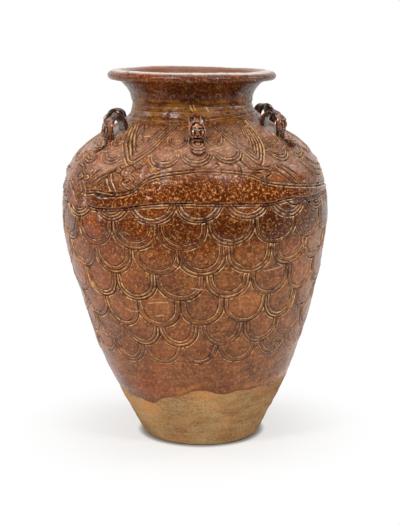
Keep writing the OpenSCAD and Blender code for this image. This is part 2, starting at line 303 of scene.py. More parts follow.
dragon = {
    "turns": [0, 180],
    "firstTurn": -88,         # where one dragon ends and the next begins
    "fade": [[-50, -45], [90, 82]], "edge": [-1.5, 2.5],      # of the body's swelling
    "plainBelly": 402, "gap": 1,
    "back": [[-52, 421], [-45.8, 424], [-33.4, 422], [-25.3, 430], [-20, 445], [-12.7, 453], [2, 458],
             [13.3, 456], [24.7, 448], [32.3, 436], [41.3, 429], [56, 421], [70, 416], [84, 413],
             [90, 412]],
    "belly": [[-52, 405], [-45, 402], [-37, 403], [-28.9, 406], [-18, 412], [-5.3, 414], [5.8, 412],
              [20, 409], [32, 406], [43, 409], [55, 405], [70, 405], [84, 408], [90, 411]],
    "proud": 1.6,       # how far the body stands out of the wall
    "head": [
        [[-67, 437], [-72, 434], [-79, 431], [-83, 425]],
        [[-83, 425], [-86, 429], [-87, 434], [-84, 437], [-81, 433]],
        [[-83, 424], [-80, 419], [-74, 420], [-68, 418], [-65, 412]],
        [[-66, 409], [-70, 410], [-75, 410], [-80, 406], [-76, 402], [-69, 402], [-64, 396]],
        [[-67, 432], [-64, 424], [-61, 424], [-59, 431], [-57, 434], [-54.5, 423], [-53, 416]],
        [[-66, 438], [-62, 431], [-59.5, 438], [-56, 441], [-53, 432], [-51.5, 424]],
        [[-64, 427], [-61.5, 418], [-59, 410], [-57, 418], [-55, 424]],
        [[-61.3, 443], [-60.8, 449.5], [-57.6, 450.5], [-56.4, 445], [-58.6, 441.5], [-61.3, 443]],
        [[-55.8, 444], [-55.2, 449.5], [-52.4, 450], [-51.4, 444.5], [-53.6, 441.5], [-55.8, 444]],
        [[-58.5, 453], [-61, 459], [-67, 462]],
        [[-56, 453], [-57.5, 460], [-62.5, 466]],
        [[-50.5, 451], [-50, 458], [-54, 463]],
        [[-76, 420], [-75, 416], [-73, 420]],
        [[-71, 419.5], [-70, 415], [-68, 418.5]],
        [[-78, 429], [-85, 441], [-82, 452], [-73, 451]],
        [[-47.5, 427.5], [-43, 428.5], [-37.6, 427], [-29, 430], [-24, 437]],
        [[-47, 426.5], [-44, 421], [-41, 419.5], [-37.5, 421], [-34, 424]],
        [[-45.5, 424.5], [-42, 422.5], [-38.5, 423.5]],
    ],
    "mane": [
        [[-49, 438], [-44.5, 448.5], [-39.5, 457], [-36, 461]],
        [[-50, 447], [-48, 453], [-45.5, 459]],
        [[-45.5, 432], [-42, 445], [-38.5, 457]],
        [[-47.5, 433], [-44.5, 441], [-42.5, 450]],
        [[-38, 457], [-36, 443], [-33.4, 431]],
        [[-40.2, 451], [-38.4, 440], [-36.4, 431]],
        [[-42.5, 431.5], [-41, 437], [-40.5, 444]],
    ],
    "legs": [
        [[-25, 431], [-29, 434], [-32, 441], [-31, 449], [-33.5, 456], [-32, 464], [-28.5, 469]],
        [[-23, 436], [-26, 442], [-25.5, 450], [-28, 456], [-26, 462], [-28.5, 469]],
        [[-29, 443], [-27.5, 445.5], [-28.5, 448], [-30.5, 447], [-30.5, 443.5], [-28.8, 441]],
        [[-33.5, 456], [-37, 459], [-36, 463]],
        [[-32.5, 461], [-35, 466], [-33, 470]],
        [[-26, 462], [-23, 466], [-25, 471]],
        [[26, 457], [30, 456], [34.3, 454], [35.5, 449], [33, 445], [32.5, 438]],
        [[26, 452.5], [30, 451.5], [31, 447], [29.3, 441], [29, 434]],
        [[20, 470], [21.5, 460], [21, 449]],
        [[22.5, 471], [25, 461], [27, 455]],
        [[31, 462], [34, 459], [37, 460]],
        [[34, 452], [38, 452], [39, 448]],
        [[41, 406], [44, 399], [49, 398], [50, 403], [46, 405]],
        [[53, 404], [56, 397], [62, 397], [62, 403], [58, 404]],
    ],
    "flames": [
        [[37, 457], [41, 447], [47, 431]],
        [[40, 459], [45, 447], [51, 430]],
        [[43, 460], [49, 447], [55, 431]],
        [[56, 466], [60, 450], [68, 436], [76, 431]],
        [[60, 467], [64, 453], [71, 442], [79, 438]],
        [[65, 467], [69, 457], [75, 449], [82, 446]],
        [[90, 412], [94, 418], [93, 427], [88, 431]],
        [[90, 411], [97, 414], [101, 421], [99, 430]],
        [[89, 409], [95, 405], [102, 408], [106, 415]],
        [[-16, 459], [-14, 465], [-17, 470]],
        [[9, 462], [12, 467], [10, 471]],
    ],
    # beside the back and the belly, the lines as [distance in mm, depth]
    "backLines": [[0, 1.3], [4.5, 1.0]], "bellyLines": [[0, 1.2], [-4, 0.7]],
    "depths": {"head": 1.1, "mane": 1.35, "legs": 1.3, "flames": 1.35},
}


# A turn as one dragon counts it; the two walk half a turn apart
def dragonTurn(turn):
    return (np.asarray(turn) - dragon["firstTurn"]) % 180 + dragon["firstTurn"]


def bodyCurve(side, turn):
    line = drawn(dragon[side])
    return np.interp(dragonTurn(turn), line[:, 0], line[:, 1], left=np.nan, right=np.nan)


def bodyBelow(turn):
    low = bodyCurve("belly", turn)
    return np.where(np.isnan(low), dragon["plainBelly"], low)


def dragons():
    for turn in dragon["turns"]:
        for side in ("back", "belly"):
            for offset, depth in dragon[side + "Lines"]:
                cut(np.array(dragon[side]) + [0, offset], depth, turn)
        for group, depth in dragon["depths"].items():
            for line in dragon[group]:
                cut(line, depth, turn)


lugRing = {
    "turn": 3, "apart": 60, "radius": 141.5, "height": 515.5, "seed": 200,
    "places": ["front", "front_right", "back_right", "back", "back_left", "front_left"],
    "warmth": (0.15, 0.5), "loopWarp": 0.35, "maskWarp": 0.4,
    "sharpAngles": {"loop": 60, "mask": 70, "pad": 70},
}

petals = {
    "count": 6, "apart": 60, "firstTurn": 31, "top": 522,
    "left": [[-24, 0], [-17, -14], [-11, -27], [-6, -38], [0, -52], [9, -31], [14, -12], [18, 0]],
    "right": [[-15.5, 0], [-11, -21], [-5.5, -42], [0, -61], [4.5, -46], [8, -31], [12.5, -8], [13.5, 0]],
    "nested": [1.0, 0.88, 0.76, 0.64, 0.42],
    "swirl": [[-4, -8], [-6, -15], [-3.5, -22], [0.5, -25], [3, -18], [1.5, -12], [-1.5, -13], [-2, -18]],
    "veins": [[[6, -4], [4.5, -13], [2, -22]], [[-9, -4], [-8, -12], [-5, -22]]],
    "widths": (0.95, 1.05), "heights": (0.96, 1.03),
    "deep": 1.35, "shallow": 1.0, "shallowBelow": 0.6,      # the inner shapes are cut less deep
    "wave": 0.6, "waveBelow": 0.5, "waveStep": 2.4, "swirlDrop": 4, "swirlDepth": 1.0, "veinDepth": 0.8,
}


def shoulderPetals(dice):
    top = petals["top"]
    for k in range(petals["count"]):
        turn = petals["firstTurn"] + petals["apart"] * k
        shape = np.array(petals["right" if k % 2 == 0 else "left"], float)
        shape = shape * [dice.uniform(*petals["widths"]), dice.uniform(*petals["heights"])]
        for share in petals["nested"]:
            wave = petals["wave"] * np.sin(np.arange(len(shape)) * petals["waveStep"] + k)
            wave = wave * (share < petals["waveBelow"])
            depth = petals["deep" if share > petals["shallowBelow"] else "shallow"]
            cut(shape * share + np.stack([wave, 0 * wave], 1) + [0, top], depth, turn)
        cut(np.array(petals["swirl"]) + [0, top - petals["swirlDrop"]], petals["swirlDepth"], turn)
        for vein in petals["veins"]:
            cut(np.array(vein) + [0, top], petals["veinDepth"], turn)


shoulderScales = {
    # offset from the lug, lowest point, half width and depth of each small scale beside a lug
    "shapes": [[-16.2, 465, 7.6, 19], [-1.0, 466, 8.0, 21], [14.6, 468, 7.4, 19], [-11, 492, 5.8, 15],
               [10, 493, 5.8, 15]],
    "inset": 4.4, "lines": 3, "oneLess": 0.4, "narrowing": 0.85, "span": 80, "step": 20, "lineDepth": 1.2,
}


def smallScales(dice):
    small = shoulderScales
    for k in range(len(lugRing["places"])):
        lug = lugRing["turn"] + lugRing["apart"] * k
        for offset, low, half, depth in small["shapes"]:
            lines = small["lines"] - (1 if dice.random() < small["oneLess"] else 0)
            for n in range(lines):
                inset = n * small["inset"]
                narrow = half - inDegrees(small["narrowing"] * inset, low)
                cut(hanging(lug + offset, low + inset, narrow, depth - inset, small["span"], small["step"]),
                    small["lineDepth"])


# Grooves turned round the neck: [height, depth] of each, and how they waver
neckRings = {"rings": [[546, 0.22], [539, 0.35], [531.5, 0.55], [526.5, 0.8], [522.5, 0.45]],
             "step": 12, "waver": 0.5, "waverTurn": 37}


def ringGrooves():
    turn = np.arange(-180, 181, neckRings["step"])
    for height, depth in neckRings["rings"]:
        line = np.stack([turn, height + neckRings["waver"] * np.sin(turn / neckRings["waverTurn"])], 1)
        line[-1, 1] = line[0, 1]
        cut(line, depth)


carving = np.random.default_rng(41)
dragons()
scaleRows(carving)
shoulderPetals(carving)
smallScales(carving)
ringGrooves()
print("stage:", len(strokes), "carved lines")

# Distances from a line are kept up to the farthest, in mm, and looked for so many rows and columns away
nearby = {"farthest": 9.0, "counted": 0.6, "rows": 5, "columns": 11, "tie": 0.12}


# For each point of the grid: how near a line is, that line's depth, and 1 on the line's right-hand side
def carve(lines):
    near = np.full((rows, columns), nearby["farthest"])
    deep = np.zeros((rows, columns))
    rightHand = np.zeros((rows, columns))
    line = np.vstack([p for p, depth in lines])
    depths = np.concatenate([np.full(len(p), depth) for p, depth in lines])
    radius = radiusAt(line[:, 1])
    heading = np.vstack([np.gradient(p, axis=0) if len(p) > 1 else p * 0 for p, depth in lines])
    heading[:, 0] *= math.radians(1) * radius
    heading /= np.linalg.norm(heading, axis=1)[:, None] + 1e-9
    along = np.interp(lengthAt(line[:, 1]), lengths, np.arange(rows))
    across = (line[:, 0] + 180) * columns / 360
    row0, column0 = np.round(along).astype(int), np.round(across).astype(int)
    perRow = np.gradient(lengths)
    for down in range(-nearby["rows"], nearby["rows"] + 1):
        row = np.clip(row0 + down, 0, rows - 1)
        high = (row - along) * perRow[row]
        for side in range(-nearby["columns"], nearby["columns"] + 1):
            wide = np.radians((column0 + side - across) * 360 / columns) * radius
            distance = np.hypot(high, wide)
            close = distance < nearby["farthest"] * nearby["counted"]
            spot = (row[close], (column0[close] + side) % columns)
            np.minimum.at(near, spot, distance[close])
            best = distance[close] <= near[spot] + nearby["tie"]
            deep[spot[0][best], spot[1][best]] = depths[close][best]
            turned = (heading[:, 1] * wide - heading[:, 0] * high)[close][best]
            rightHand[spot[0][best], spot[1][best]] = turned > 0
    return near, deep, rightHand


# The cut itself: half widths and heights of its groove and of the burr beside it, in mm
carvedEdge = {
    "groove": 1.1, "deep": 2.1, "burrAt": 2.3, "burr": 1.0, "rise": 0.85, "flatSide": 0.3, "step": 0.7,
    "stepWidth": 5.2, "evenWidth": 0.62, "faintest": 0.6,
    # no two stretches are pressed alike
    "pressure": 0.95, "pressureLayer": [[13, 7, 9, 0.22]], "pressures": (0.35, 1.35),
}
nearCut, cutDepth, cutSide = carve(strokes)
# the deeper lines are the wider ones
nearCut = nearCut / (carvedEdge["evenWidth"]
                     + (1 - carvedEdge["evenWidth"]) * np.maximum(cutDepth, carvedEdge["faintest"]))
pressure = np.clip(carvedEdge["pressure"] + layered(carvedEdge["pressureLayer"]), *carvedEdge["pressures"])
cutDepth = cutDepth * pressure
print("stage: lines laid on the grid")

glazeEdge = {
    "thick": 0.35, "thicken": 1.5,      # the glaze's own thickness, and how softly it begins
    "ragged": [[7, 3, 26, 1.0], [8, 3, 9, 0.35]], "raggedRow": 3,
    # [turn, height] round the foot where the glaze stopped running, its lobes and dips
    "points": [[-61, 89], [-45, 83], [-33, 80], [-25, 91], [-13, 94], [-2, 104], [16, 100], [30, 100],
               [47, 99], [78, 101], [103, 91], [120, 97], [141, 84], [160, 96], [188, 103], [215, 95],
               [238, 82], [262, 92], [280, 97]],
}
scratches = [       # pale marks rubbed through the glaze
    [[-22, 258.5], [-18, 260], [-12.5, 261]], [[30, 302], [35, 303], [40, 305.5]], [[-2, 284], [3, 281]],
    [[2, 549], [3, 545], [4.5, 541]], [[-1, 548], [0, 544], [1.5, 540]], [[14, 546], [16, 539]],
    [[-34, 246], [-31, 243], [-27, 244]], [[-19, 238], [-15, 240]], [[52, 330], [55, 324]],
    [[-9, 321], [-7, 315]], [[112, 300], [118, 303]], [[166, 250], [173, 252]], [[231, 318], [236, 314]],
    [[-84, 290], [-80, 286]],
]


# Height of the glaze's lower edge at each column
def edgeHeights():
    points = np.array(glazeEdge["points"], float)
    line = drawn(np.vstack([points - [360, 0], points, points + [360, 0]]))
    ragged = layered(glazeEdge["ragged"])[rows // glazeEdge["raggedRow"]]
    return np.interp(turns, line[:, 0], line[:, 1]) + ragged


unevenClay = {
    # layers of [seed, rows, columns, height in mm]
    "throwing": [[3, 9, 400, 0.22], [4, 22, 500, 0.3], [5, 70, 90, 0.5], [6, 25, 40, 0.2]],
    "skin": [[9, 3, 4, 0.09], [10, 8, 10, 0.10]],
    "calmBelow": 12, "onRim": 0.6,      # the foot stays true on the floor, and the rim nearly so
    # where the thrown wall isn't round: [turn, height, reach in degrees, reach in mm, how far out in mm]
    "lumps": [[90, 482, 52, 40, -4.0], [90, 82, 62, 52, 4.2], [90, 175, 60, 46, 2.2], [90, 262, 50, 34, 1.2],
              [-90, 236, 46, 34, -2.8], [-90, 112, 50, 40, 3.0], [90, 540, 60, 16, 2.6],
              [180, 300, 60, 70, -1.5], [150, 130, 40, 60, 1.6]],
    "spare": 1.3, "softness": 0.5,      # nothing stands outside the belly's measure, less this
}
# The head and the knees stand out a little as well: [turn, height, width in mm, lift]
bosses = [[-59, 418, 9, 1.3], [-58.7, 446, 4.2, 2.4], [-53.6, 446, 4.2, 2.4], [-70, 428, 13, 1.8],
          [-78, 424, 10, 1.4], [-84, 450, 8, 2.6], [-29, 446, 5, 2.4], [-31, 458, 4, 2.2],
          [-27, 464, 4, 2.0], [-33, 465, 3.4, 1.8], [-24.5, 456, 4, 1.8], [30, 447, 4.5, 2.6],
          [33, 453, 4, 2.4], [27, 455, 4, 2.0], [36, 449, 3.6, 2.2], [29, 438, 4, 1.8], [93, 420, 8, 1.3]]


# How far every grid point stands out of the turned wall, in mm, and where the dragons' bodies are
def liftOfWall():
    height, turn = np.broadcast_arrays(rowHeight[:, None], turns[None, :])
    body = smooth(*dragon["edge"], bodyCurve("back", turn) - height)
    body = np.nan_to_num(body * smooth(*dragon["edge"], height - bodyCurve("belly", turn)))
    for fade in dragon["fade"]:
        body = body * smooth(*fade, dragonTurn(turn))
    body = body * onWall
    groove = np.exp(-(nearCut / carvedEdge["groove"])**2) * cutDepth
    highSide = carvedEdge["flatSide"] + (1 - carvedEdge["flatSide"]) * cutSide
    burr = np.exp(-((nearCut - carvedEdge["burrAt"]) / carvedEdge["burr"])**2) * cutDepth * highSide
    step = np.clip(1 - nearCut / carvedEdge["stepWidth"], 0, 1)**2 * (cutSide - 0.5) * cutDepth
    shape = carvedEdge["rise"] * burr - carvedEdge["deep"] * groove - carvedEdge["step"] * step
    calm = smooth(0, unevenClay["calmBelow"], rowHeight)[:, None] * np.where(onWall, 1.0, unevenClay["onRim"])
    lift = layered(unevenClay["throwing"]) * calm + layered(unevenClay["skin"])
    lift = lift + onWall * shape + dragon["proud"] * body
    for turn, height, degrees, tall, amount in unevenClay["lumps"]:
        around = np.exp(-(sideOf(turn) / degrees)**2)[None, :]
        lift += amount * around * np.exp(-((rowHeight - height) / tall)**2)[:, None]
    for turn, height, width, rise in bosses:
        for start in dragon["turns"]:
            lift += rise * np.exp(-(awayFrom(turn + start, height) / width)**2) * onWall
    lift += glazeEdge["thick"] * smooth(-glazeEdge["thicken"], glazeEdge["thicken"], aboveEdge)
    room = (jar["bellyRadius"] - rowRadius)[:, None]
    upward = np.where(np.arange(rows) < starts[-1], 1.0, np.clip(rowNormal[:, 1], 0, 1))[:, None]
    softness = unevenClay["softness"]
    lift = room - softness * np.log1p(np.exp((room - lift + unevenClay["spare"] * upward) / softness))
    return lift, body


aboveEdge = rowHeight[:, None] - edgeHeights()[None, :]
lift, dragonBody = liftOfWall()
print("stage: relief ready")

# Pale chalky blooms on the glaze: [turn, height, width in mm, strength]
blooms = [[-52, 408, 12, 1.0], [-42, 388, 8, 1.0], [-60, 431, 9, 0.6], [-24, 262, 9, 0.5],
          [-34, 372, 7, 0.6], [22, 395, 9, 0.35], [60, 350, 12, 0.3], [130, 400, 12, 0.9],
          [140, 372, 8, 0.7], [205, 300, 12, 0.5], [-100, 330, 12, 0.5], [-30, 232, 10, 0.6],
          [-23, 236, 7, 0.5]]
# Runs of clear rust-red glaze between the strokes, given in the same way
rustRuns = [[30, 452, 8, 1.0], [40, 446, 16, 1.0], [52, 440, 14, 0.9], [-47, 466, 9, 0.6],
            [-14, 398, 22, 0.5], [20, 392, 20, 0.5], [-50, 378, 16, 0.8], [-40, 340, 18, 0.7],
            [-35, 300, 20, 0.6], [48, 388, 14, 0.6], [-48, 262, 20, 0.6], [-20, 366, 18, 0.6],
            [-38, 112, 18, 1.0], [-24, 108, 14, 0.7], [160, 440, 14, 0.8], [215, 450, 13, 0.8],
            [190, 380, 22, 0.5], [140, 330, 22, 0.5], [240, 360, 24, 0.5], [110, 400, 16, 0.5]]
# the band round the lip's highest line that is painted pale, partly for wear and partly as painted sheen on
# the lip's upturned top
lipWearAndSheenSpan = {"outer": [-13, -7], "inner": [7, 1]}      # from the lip's highest line, in mm along the outline
throatFade = 6


def spotField(spots):
    field = np.zeros((rows, columns))
    for turn, height, width, strength in spots:
        field = np.maximum(field, strength * np.exp(-(awayFrom(turn, height) / width)**2))
    return field


def allRound(perRow):
    return np.broadcast_to(perRow[:, None], (rows, columns))


pastLip = lengths - lengths[rowHeight.argmax()]
nearScratch = carve([[drawn(line), 1.0] for line in scratches])[0]
# What the materials read from the mesh, point by point, and the plain value on the hidden inside
surface = {
    "cutNear": (nearCut, nearby["farthest"]), "cutDepth": (cutDepth, 0), "cutSide": (cutSide, 0),
    "glazeRise": (aboveEdge, 40), "dragonBody": (dragonBody, 0), "jarHeight": (allRound(rowHeight), None),
    "lipWearAndSheen": (allRound(smooth(*lipWearAndSheenSpan["outer"], pastLip) * smooth(*lipWearAndSheenSpan["inner"], pastLip)), 0),
    "bloom": (spotField(blooms), 0), "rustRun": (spotField(rustRuns), 0),
    "scratchNear": (nearScratch, nearby["farthest"]), "throat": (allRound(smooth(0, throatFade, pastLip)), 1),
}

points = placePoints(rowRadius[:, None] + lift * rowNormal[:, :1], turns,
                     rowHeight[:, None] + lift * rowNormal[:, 1:])
# The slab's rows round down from the wall to a flat foot on the floor, whatever the lean above
slabTop = starts[1]
outward = np.stack([np.cos(np.radians(turns - 90)), np.sin(np.radians(turns - 90)), 0 * turns], -1)
footCentre = np.array([leanShift * mm, 0, 0])
floorRing = footCentre + outward * (jar["footRadius"] - jar["footInset"]) * mm
bulge = jar["footBulge"]
cornerRing = footCentre + outward * (jar["footRadius"] + bulge) * mm + [0, 0, bulge * mm]
topRing = points[slabTop]
for k in range(slabTop):
    t = k / slabTop
    points[k] = (1 - t)**2 * floorRing + 2 * t * (1 - t) * cornerRing + t * t * topRing
print("stage: walls placed")


def newMesh(name, vertices, faces, values, node, material, sharpAngle=80):
    shape = bpy.data.meshes.new(name)
    shape.from_pydata(vertices, [], faces)
    for key, numbers in values.items():
        layer = shape.attributes.new(key, "FLOAT", "POINT")
        layer.data.foreach_set("value", np.ascontiguousarray(numbers, dtype=np.float32))
    shape.polygons.foreach_set("use_smooth", np.ones(len(shape.polygons), bool))
    shape.set_sharp_from_angle(angle=math.radians(sharpAngle))
    shape.materials.append(material)
    shape.update()
    piece = bpy.data.objects.new(name, shape)
    bpy.context.scene.collection.objects.link(piece)
    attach(piece, "root")
    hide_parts(node)
    return piece


# Faces between neighbouring rings of points, and the band that closes one ring onto another
def quads(low, high, count, start=0, flip=False):
    i, j = np.meshgrid(np.arange(low, high), np.arange(count), indexing="ij")
    a = start + (i - low) * count + j
    b = start + (i - low) * count + (j + 1) % count
    face = np.stack([a, b, b + count, a + count], -1).reshape(-1, 4)
    return [tuple(f) for f in (face[:, ::-1] if flip else face)]


def band(first, second, count):
    return [(first + j, second + j, second + (j + 1) % count, first + (j + 1) % count) for j in range(count)]


# Joins a fine ring to a coarse one that lies beside it
def stitch(fineStart, coarseStart, flip=False):
    coarse = weave["insideColumns"]
    ratio = columns // coarse
    faces = []
    for j in range(coarse):
        fine = [fineStart + (j * ratio + k) % columns for k in range(ratio + 1)]
        face = fine + [coarseStart + (j + 1) % coarse, coarseStart + j]
        faces.append(face if flip else face[::-1])
    return faces


# The turned ripples inside the wall: height in mm, how close, and where they start
ripples = [(0.35, 0.55, 0), (0.25, 0.21, 2)]


def insideRing(height, rippled):
    normal = normalAt(np.interp(height, wall[:, 1], wallLength))
    thick = np.interp(height, [courses[0]["to"], jar["bellyHeight"], jar["neckHeight"]],
                      [jar["footWall"], jar["bellyWall"], jar["neckWall"]])
    turn = np.arange(weave["insideColumns"]) * 360 / weave["insideColumns"] - 180
    ripple = sum(tall * np.sin(height * close + start) for tall, close, start in ripples) * rippled
    radius = radiusAt(height) - (thick + ripple) * normal[0]
    return placePoints(radius + 0 * turn, turn, height - thick * normal[1] + 0 * turn)


def surfaceValues(low, high, extra, height):
    values = {}
    for key, (field, plain) in surface.items():
        hidden = np.full(extra, height if plain is None else plain, float)
        values[key] = np.concatenate([field[low:high + 1].reshape(-1), hidden])
    return values


def buildCourse(course, low, high, material):
    outer = points[low:high + 1].reshape(-1, 3)
    base = len(outer)
    lastRow = base - columns
    coarse = weave["insideColumns"]
    faces = quads(low, high, columns)
    if course["piece"] == "slab":
        ratio, shares = columns // coarse, slab["rings"]
        top = outer[lastRow::ratio]
        middle = top.mean(0)
        rings = [footCentre + (outer[:columns:ratio] - footCentre) * share for share in shares]
        rings += [middle + (top - middle) * share for share in shares]
        inner = np.vstack(rings + [footCentre, middle])
        ringCount = len(shares)
        topStart = base + ringCount * coarse
        hub = base + 2 * ringCount * coarse
        faces += stitch(0, base)
        faces += quads(0, ringCount - 1, coarse, base, flip=True)
        faces += stitch(lastRow, topStart, flip=True)
        faces += quads(0, ringCount - 1, coarse, topStart)
        for j in range(coarse):
            nextJ = (j + 1) % coarse
            faces.append((topStart - coarse + nextJ, topStart - coarse + j, hub))
            faces.append((hub - coarse + j, hub - coarse + nextJ, hub + 1))
        height = slab["height"]
    else:
        insideRows = weave["insideRows"]
        heights = np.linspace(rowHeight[low], rowHeight[high], insideRows + 1)
        inner = np.vstack([insideRing(h, 0 < k < insideRows) for k, h in enumerate(heights)])
        faces += stitch(0, base)
        faces += quads(0, insideRows, coarse, base, flip=True)
        faces += stitch(lastRow, base + insideRows * coarse, flip=True)
        height = (rowHeight[low] + rowHeight[high]) / 2
    values = surfaceValues(low, high, len(inner), height)
    return newMesh(course["piece"], np.vstack([outer, inner]), faces, values, course["node"],
                   material)


def buildRim(material):
    low, high = starts[-1], rows - 1
    outer = points[low:high + 1].reshape(-1, 3)
    faces = quads(low, high, columns) + band(0, (high - low) * columns, columns)
    return newMesh("mouthRim", outer, faces, surfaceValues(low, high, 0, 0), "rim", material)


# A colour given as 0 to 255 on screen
def tone(color):
    def linear(v):
        v = v / 255
        return v / 12.92 if v <= 0.04045 else ((v + 0.055) / 1.055)**2.4
    return tuple(linear(v) for v in color) + (1.0,)


def emptyTree(holder):
    holder.use_nodes = True
    holder.node_tree.nodes.clear()
    return holder.node_tree


def add(tree, kind, inputs=None, **settings):
    made = tree.nodes.new(kind)
    for key, value in settings.items():
        setattr(made, key, value)
    for key, value in (inputs or {}).items():
        if isinstance(value, bpy.types.NodeSocket):
            tree.links.new(value, made.inputs[key])
        else:
            made.inputs[key].default_value = value
    return made


def sums(tree, operation, a, b=0.0, clamp=False):
    return add(tree, "ShaderNodeMath", {0: a, 1: b}, operation=operation, use_clamp=clamp).outputs[0]


def times(tree, *values):
    result = values[0]
    for value in values[1:]:
        result = sums(tree, "MULTIPLY", result, value)
    return result


def plus(tree, *values):
    result = values[0]
    for value in values[1:]:
        result = sums(tree, "ADD", result, value)
    return result


def less(tree, a, b):
    return sums(tree, "SUBTRACT", a, b)


def lifted(tree, value, least, gain):
    return plus(tree, least, times(tree, value, gain))


def ramped(tree, value, low, high, toLow=0.0, toHigh=1.0):
    made = add(tree, "ShaderNodeMapRange", {
        "Value": value, "From Min": low, "From Max": high, "To Min": toLow, "To Max": toHigh,
    }, interpolation_type="SMOOTHSTEP")
    return made.outputs["Result"]


def mixed(tree, factor, a, b):
    return add(tree, "ShaderNodeMix", {0: factor, 6: a, 7: b}, data_type="RGBA").outputs[2]


def noise(tree, vector, perMetre, detail, roughness, distortion):
    made = add(tree, "ShaderNodeTexNoise", {"Vector": vector, "Scale": perMetre, "Detail": detail,
                                            "Roughness": roughness, "Distortion": distortion})
    return made.outputs["Fac"]


def reading(tree, name):
    return add(tree, "ShaderNodeAttribute", attribute_name=name).outputs["Fac"]


glaze = {
    # height on the jar, then the glaze's colour there
    "bands": [(95, (146, 88, 42)), (170, (142, 83, 40)), (270, (156, 92, 45)), (322, (154, 86, 32)),
              (343, (124, 62, 17)), (360, (76, 26, 2)), (386, (70, 22, 1)), (402, (102, 43, 7)),
              (440, (130, 71, 28)), (470, (130, 76, 42)), (515, (110, 66, 36)), (526, (84, 38, 10)),
              (540, (84, 38, 6)), (553, (84, 36, 8)), (566, (62, 24, 8)), (585, (76, 32, 14))],
    "pooled": (56, 18, 2), "thin": (206, 152, 84), "amberSpeck": (206, 144, 86), "dragonBody": (100, 42, 6),
    "rust": (150, 66, 8), "smoke": (96, 52, 24), "groove": (34, 12, 2), "burr": (216, 172, 118),
    # this pale tint is dust in the curls under the lip, and painted sheen on the upper shoulder
    "olive": (146, 96, 24), "dustAndSheen": (176, 136, 114), "bloom": (196, 176, 156), "scratch": (216, 184, 136),
    # the lip tint is whitened partly for worn glaze and partly as painted sheen, and the throat tint is
    # lightened as painted sheen
    "edgeLine": (74, 34, 10), "throat": (122, 82, 62), "lip": (180, 162, 152),
    "clay": (144, 101, 60), "clayDark": (116, 76, 42), "clayPale": (190, 150, 96), "flush": (186, 112, 46),
    "ash": (158, 142, 102),
}
# Noises: how many to a metre, detail, roughness and distortion
grains = {
    "speck": (240, 6, 0.75, 0.4), "fine": (470, 3, 0.7, 0), "lineWander": (150, 2, 0.5, 0),
    "bandWander": (14, 3, 0.55, 0), "fireSide": (9, 3, 0.6, 0), "clayWander": (20, 3, 0.55, 0),
    "clayFleck": (330, 5, 0.8, 0), "fleck": (330, 4, 0.75, 0), "scratch": (300, 2, 0.55, 0),
    "gloss": (45, 4, 0.6, 0), "grit": (500, 3, 0.7, 0), "lugGloss": (160, 3, 0.55, 0),
}
# Patches of such a noise, with the values where they start and are full
blotches = {
    "broad": (17, 3, 0.6, 0.4, 0.34, 0.68), "pool": (75, 4, 0.65, 0.6, 0.36, 0.66),
    "brokenBurr": (95, 5, 0.7, 0, 0.40, 0.58), "rust": (34, 4, 0.65, 0.5, 0.42, 0.60),
    "rustRun": (50, 4, 0.65, 0, 0.30, 0.55), "smoke": (13, 3, 0.6, 0, 0.45, 0.62),
    "olive": (60, 4, 0.65, 0, 0.44, 0.58), "curl": (28, 3, 0.55, 0, 0.44, 0.56),
    "drip": (90, 4, 0.7, 0, 0.52, 0.64), "shoulderSheen": (24, 4, 0.6, 0, 0.34, 0.60),
    "shade": (60, 3, 0.55, 0, 0.35, 0.6), "pinhole": (190, 2, 0.5, 0, 0.29, 0.24),
    "wash": (34, 5, 0.7, 0.4, 0.42, 0.60), "clayStreak": (26, 4, 0.55, 0, 0.3, 0.6),
    "stain": (24, 6, 0.75, 0.8, 0.47, 0.58), "flush": (16, 2, 0.55, 0, 0.46, 0.66),
    "ash": (30, 6, 0.7, 0, 0.46, 0.66),
}
# Thin lines where such a noise crosses its middle, with how far from it they start and are full
veins = {"crack": (16, 4, 0.6, 0.5, 0.012, 0.003), "curlLine": (46, 2, 0.5, 1.2, 0.022, 0.006)}
# Bands by height: how close to a mm, detail, roughness, and where they start and are full
turnings = {"clay": (0.22, 4, 0.6, 0.44, 0.60), "throwing": (0.45, 3, 0.5, 0.48, 0.7)}
# Where a measure starts to count and where it counts in full, with the values there if they aren't 0 and 1
fades = {
    "nearNeck": (505, 522), "upperSpeck": (180, 420), "neckSpeck": (518, 540, 1.0, 0.62),
    "shoulderSheen": (425, 490), "shoulderSheenEnd": (522, 514),
    "rubbedBurr": (400, 450, 0.85, 0.52), "filledGroove": (405, 440, 0.82, 0.62),       # less up the shoulder
    "fireSide": (0.62, 1.32), "coolSide": (0.5, 0.1), "darkSpeck": (0.49, 0.37), "paleSpeck": (0.51, 0.68),
    "crust": (0.74, 0.88), "groove": (1.3, 0.4), "cutShade": (6.5, 2.0), "scratch": (1.75, 0.95),
    "wash": (26, 3), "bare": (0.8, -0.8), "flush": (-40, -4), "clayPale": (0.52, 0.40),
    "clayDark": (0.53, 0.66), "ridge": (0.15, 0.9), "hollow": (0.0, -0.5),
}
# Stretches of a measure: where one starts, is full, is gone again and begins to go
windows = {"collar": (520, 527, 562, 552), "underLip": (556, 564, 592, 586),
           "edgeLine": (-0.6, 0.8, 7.0, 1.6), "burr": (1.0, 1.5, 2.7, 1.9)}


def grain(tree, vector, name):
    return noise(tree, vector, *grains[name])


def blotch(tree, vector, name):
    *kind, start, full = blotches[name]
    return ramped(tree, noise(tree, vector, *kind), start, full)


def vein(tree, vector, name):
    *kind, start, full = veins[name]
    offMiddle = sums(tree, "ABSOLUTE", less(tree, noise(tree, vector, *kind), 0.5))
    return ramped(tree, offMiddle, start, full)


def turning(tree, height, name):
    close, detail, roughness, start, full = turnings[name]
    made = add(tree, "ShaderNodeTexNoise", {"W": height, "Scale": close, "Detail": detail,
                                            "Roughness": roughness}, noise_dimensions="1D")
    return ramped(tree, made.outputs["Fac"], start, full)


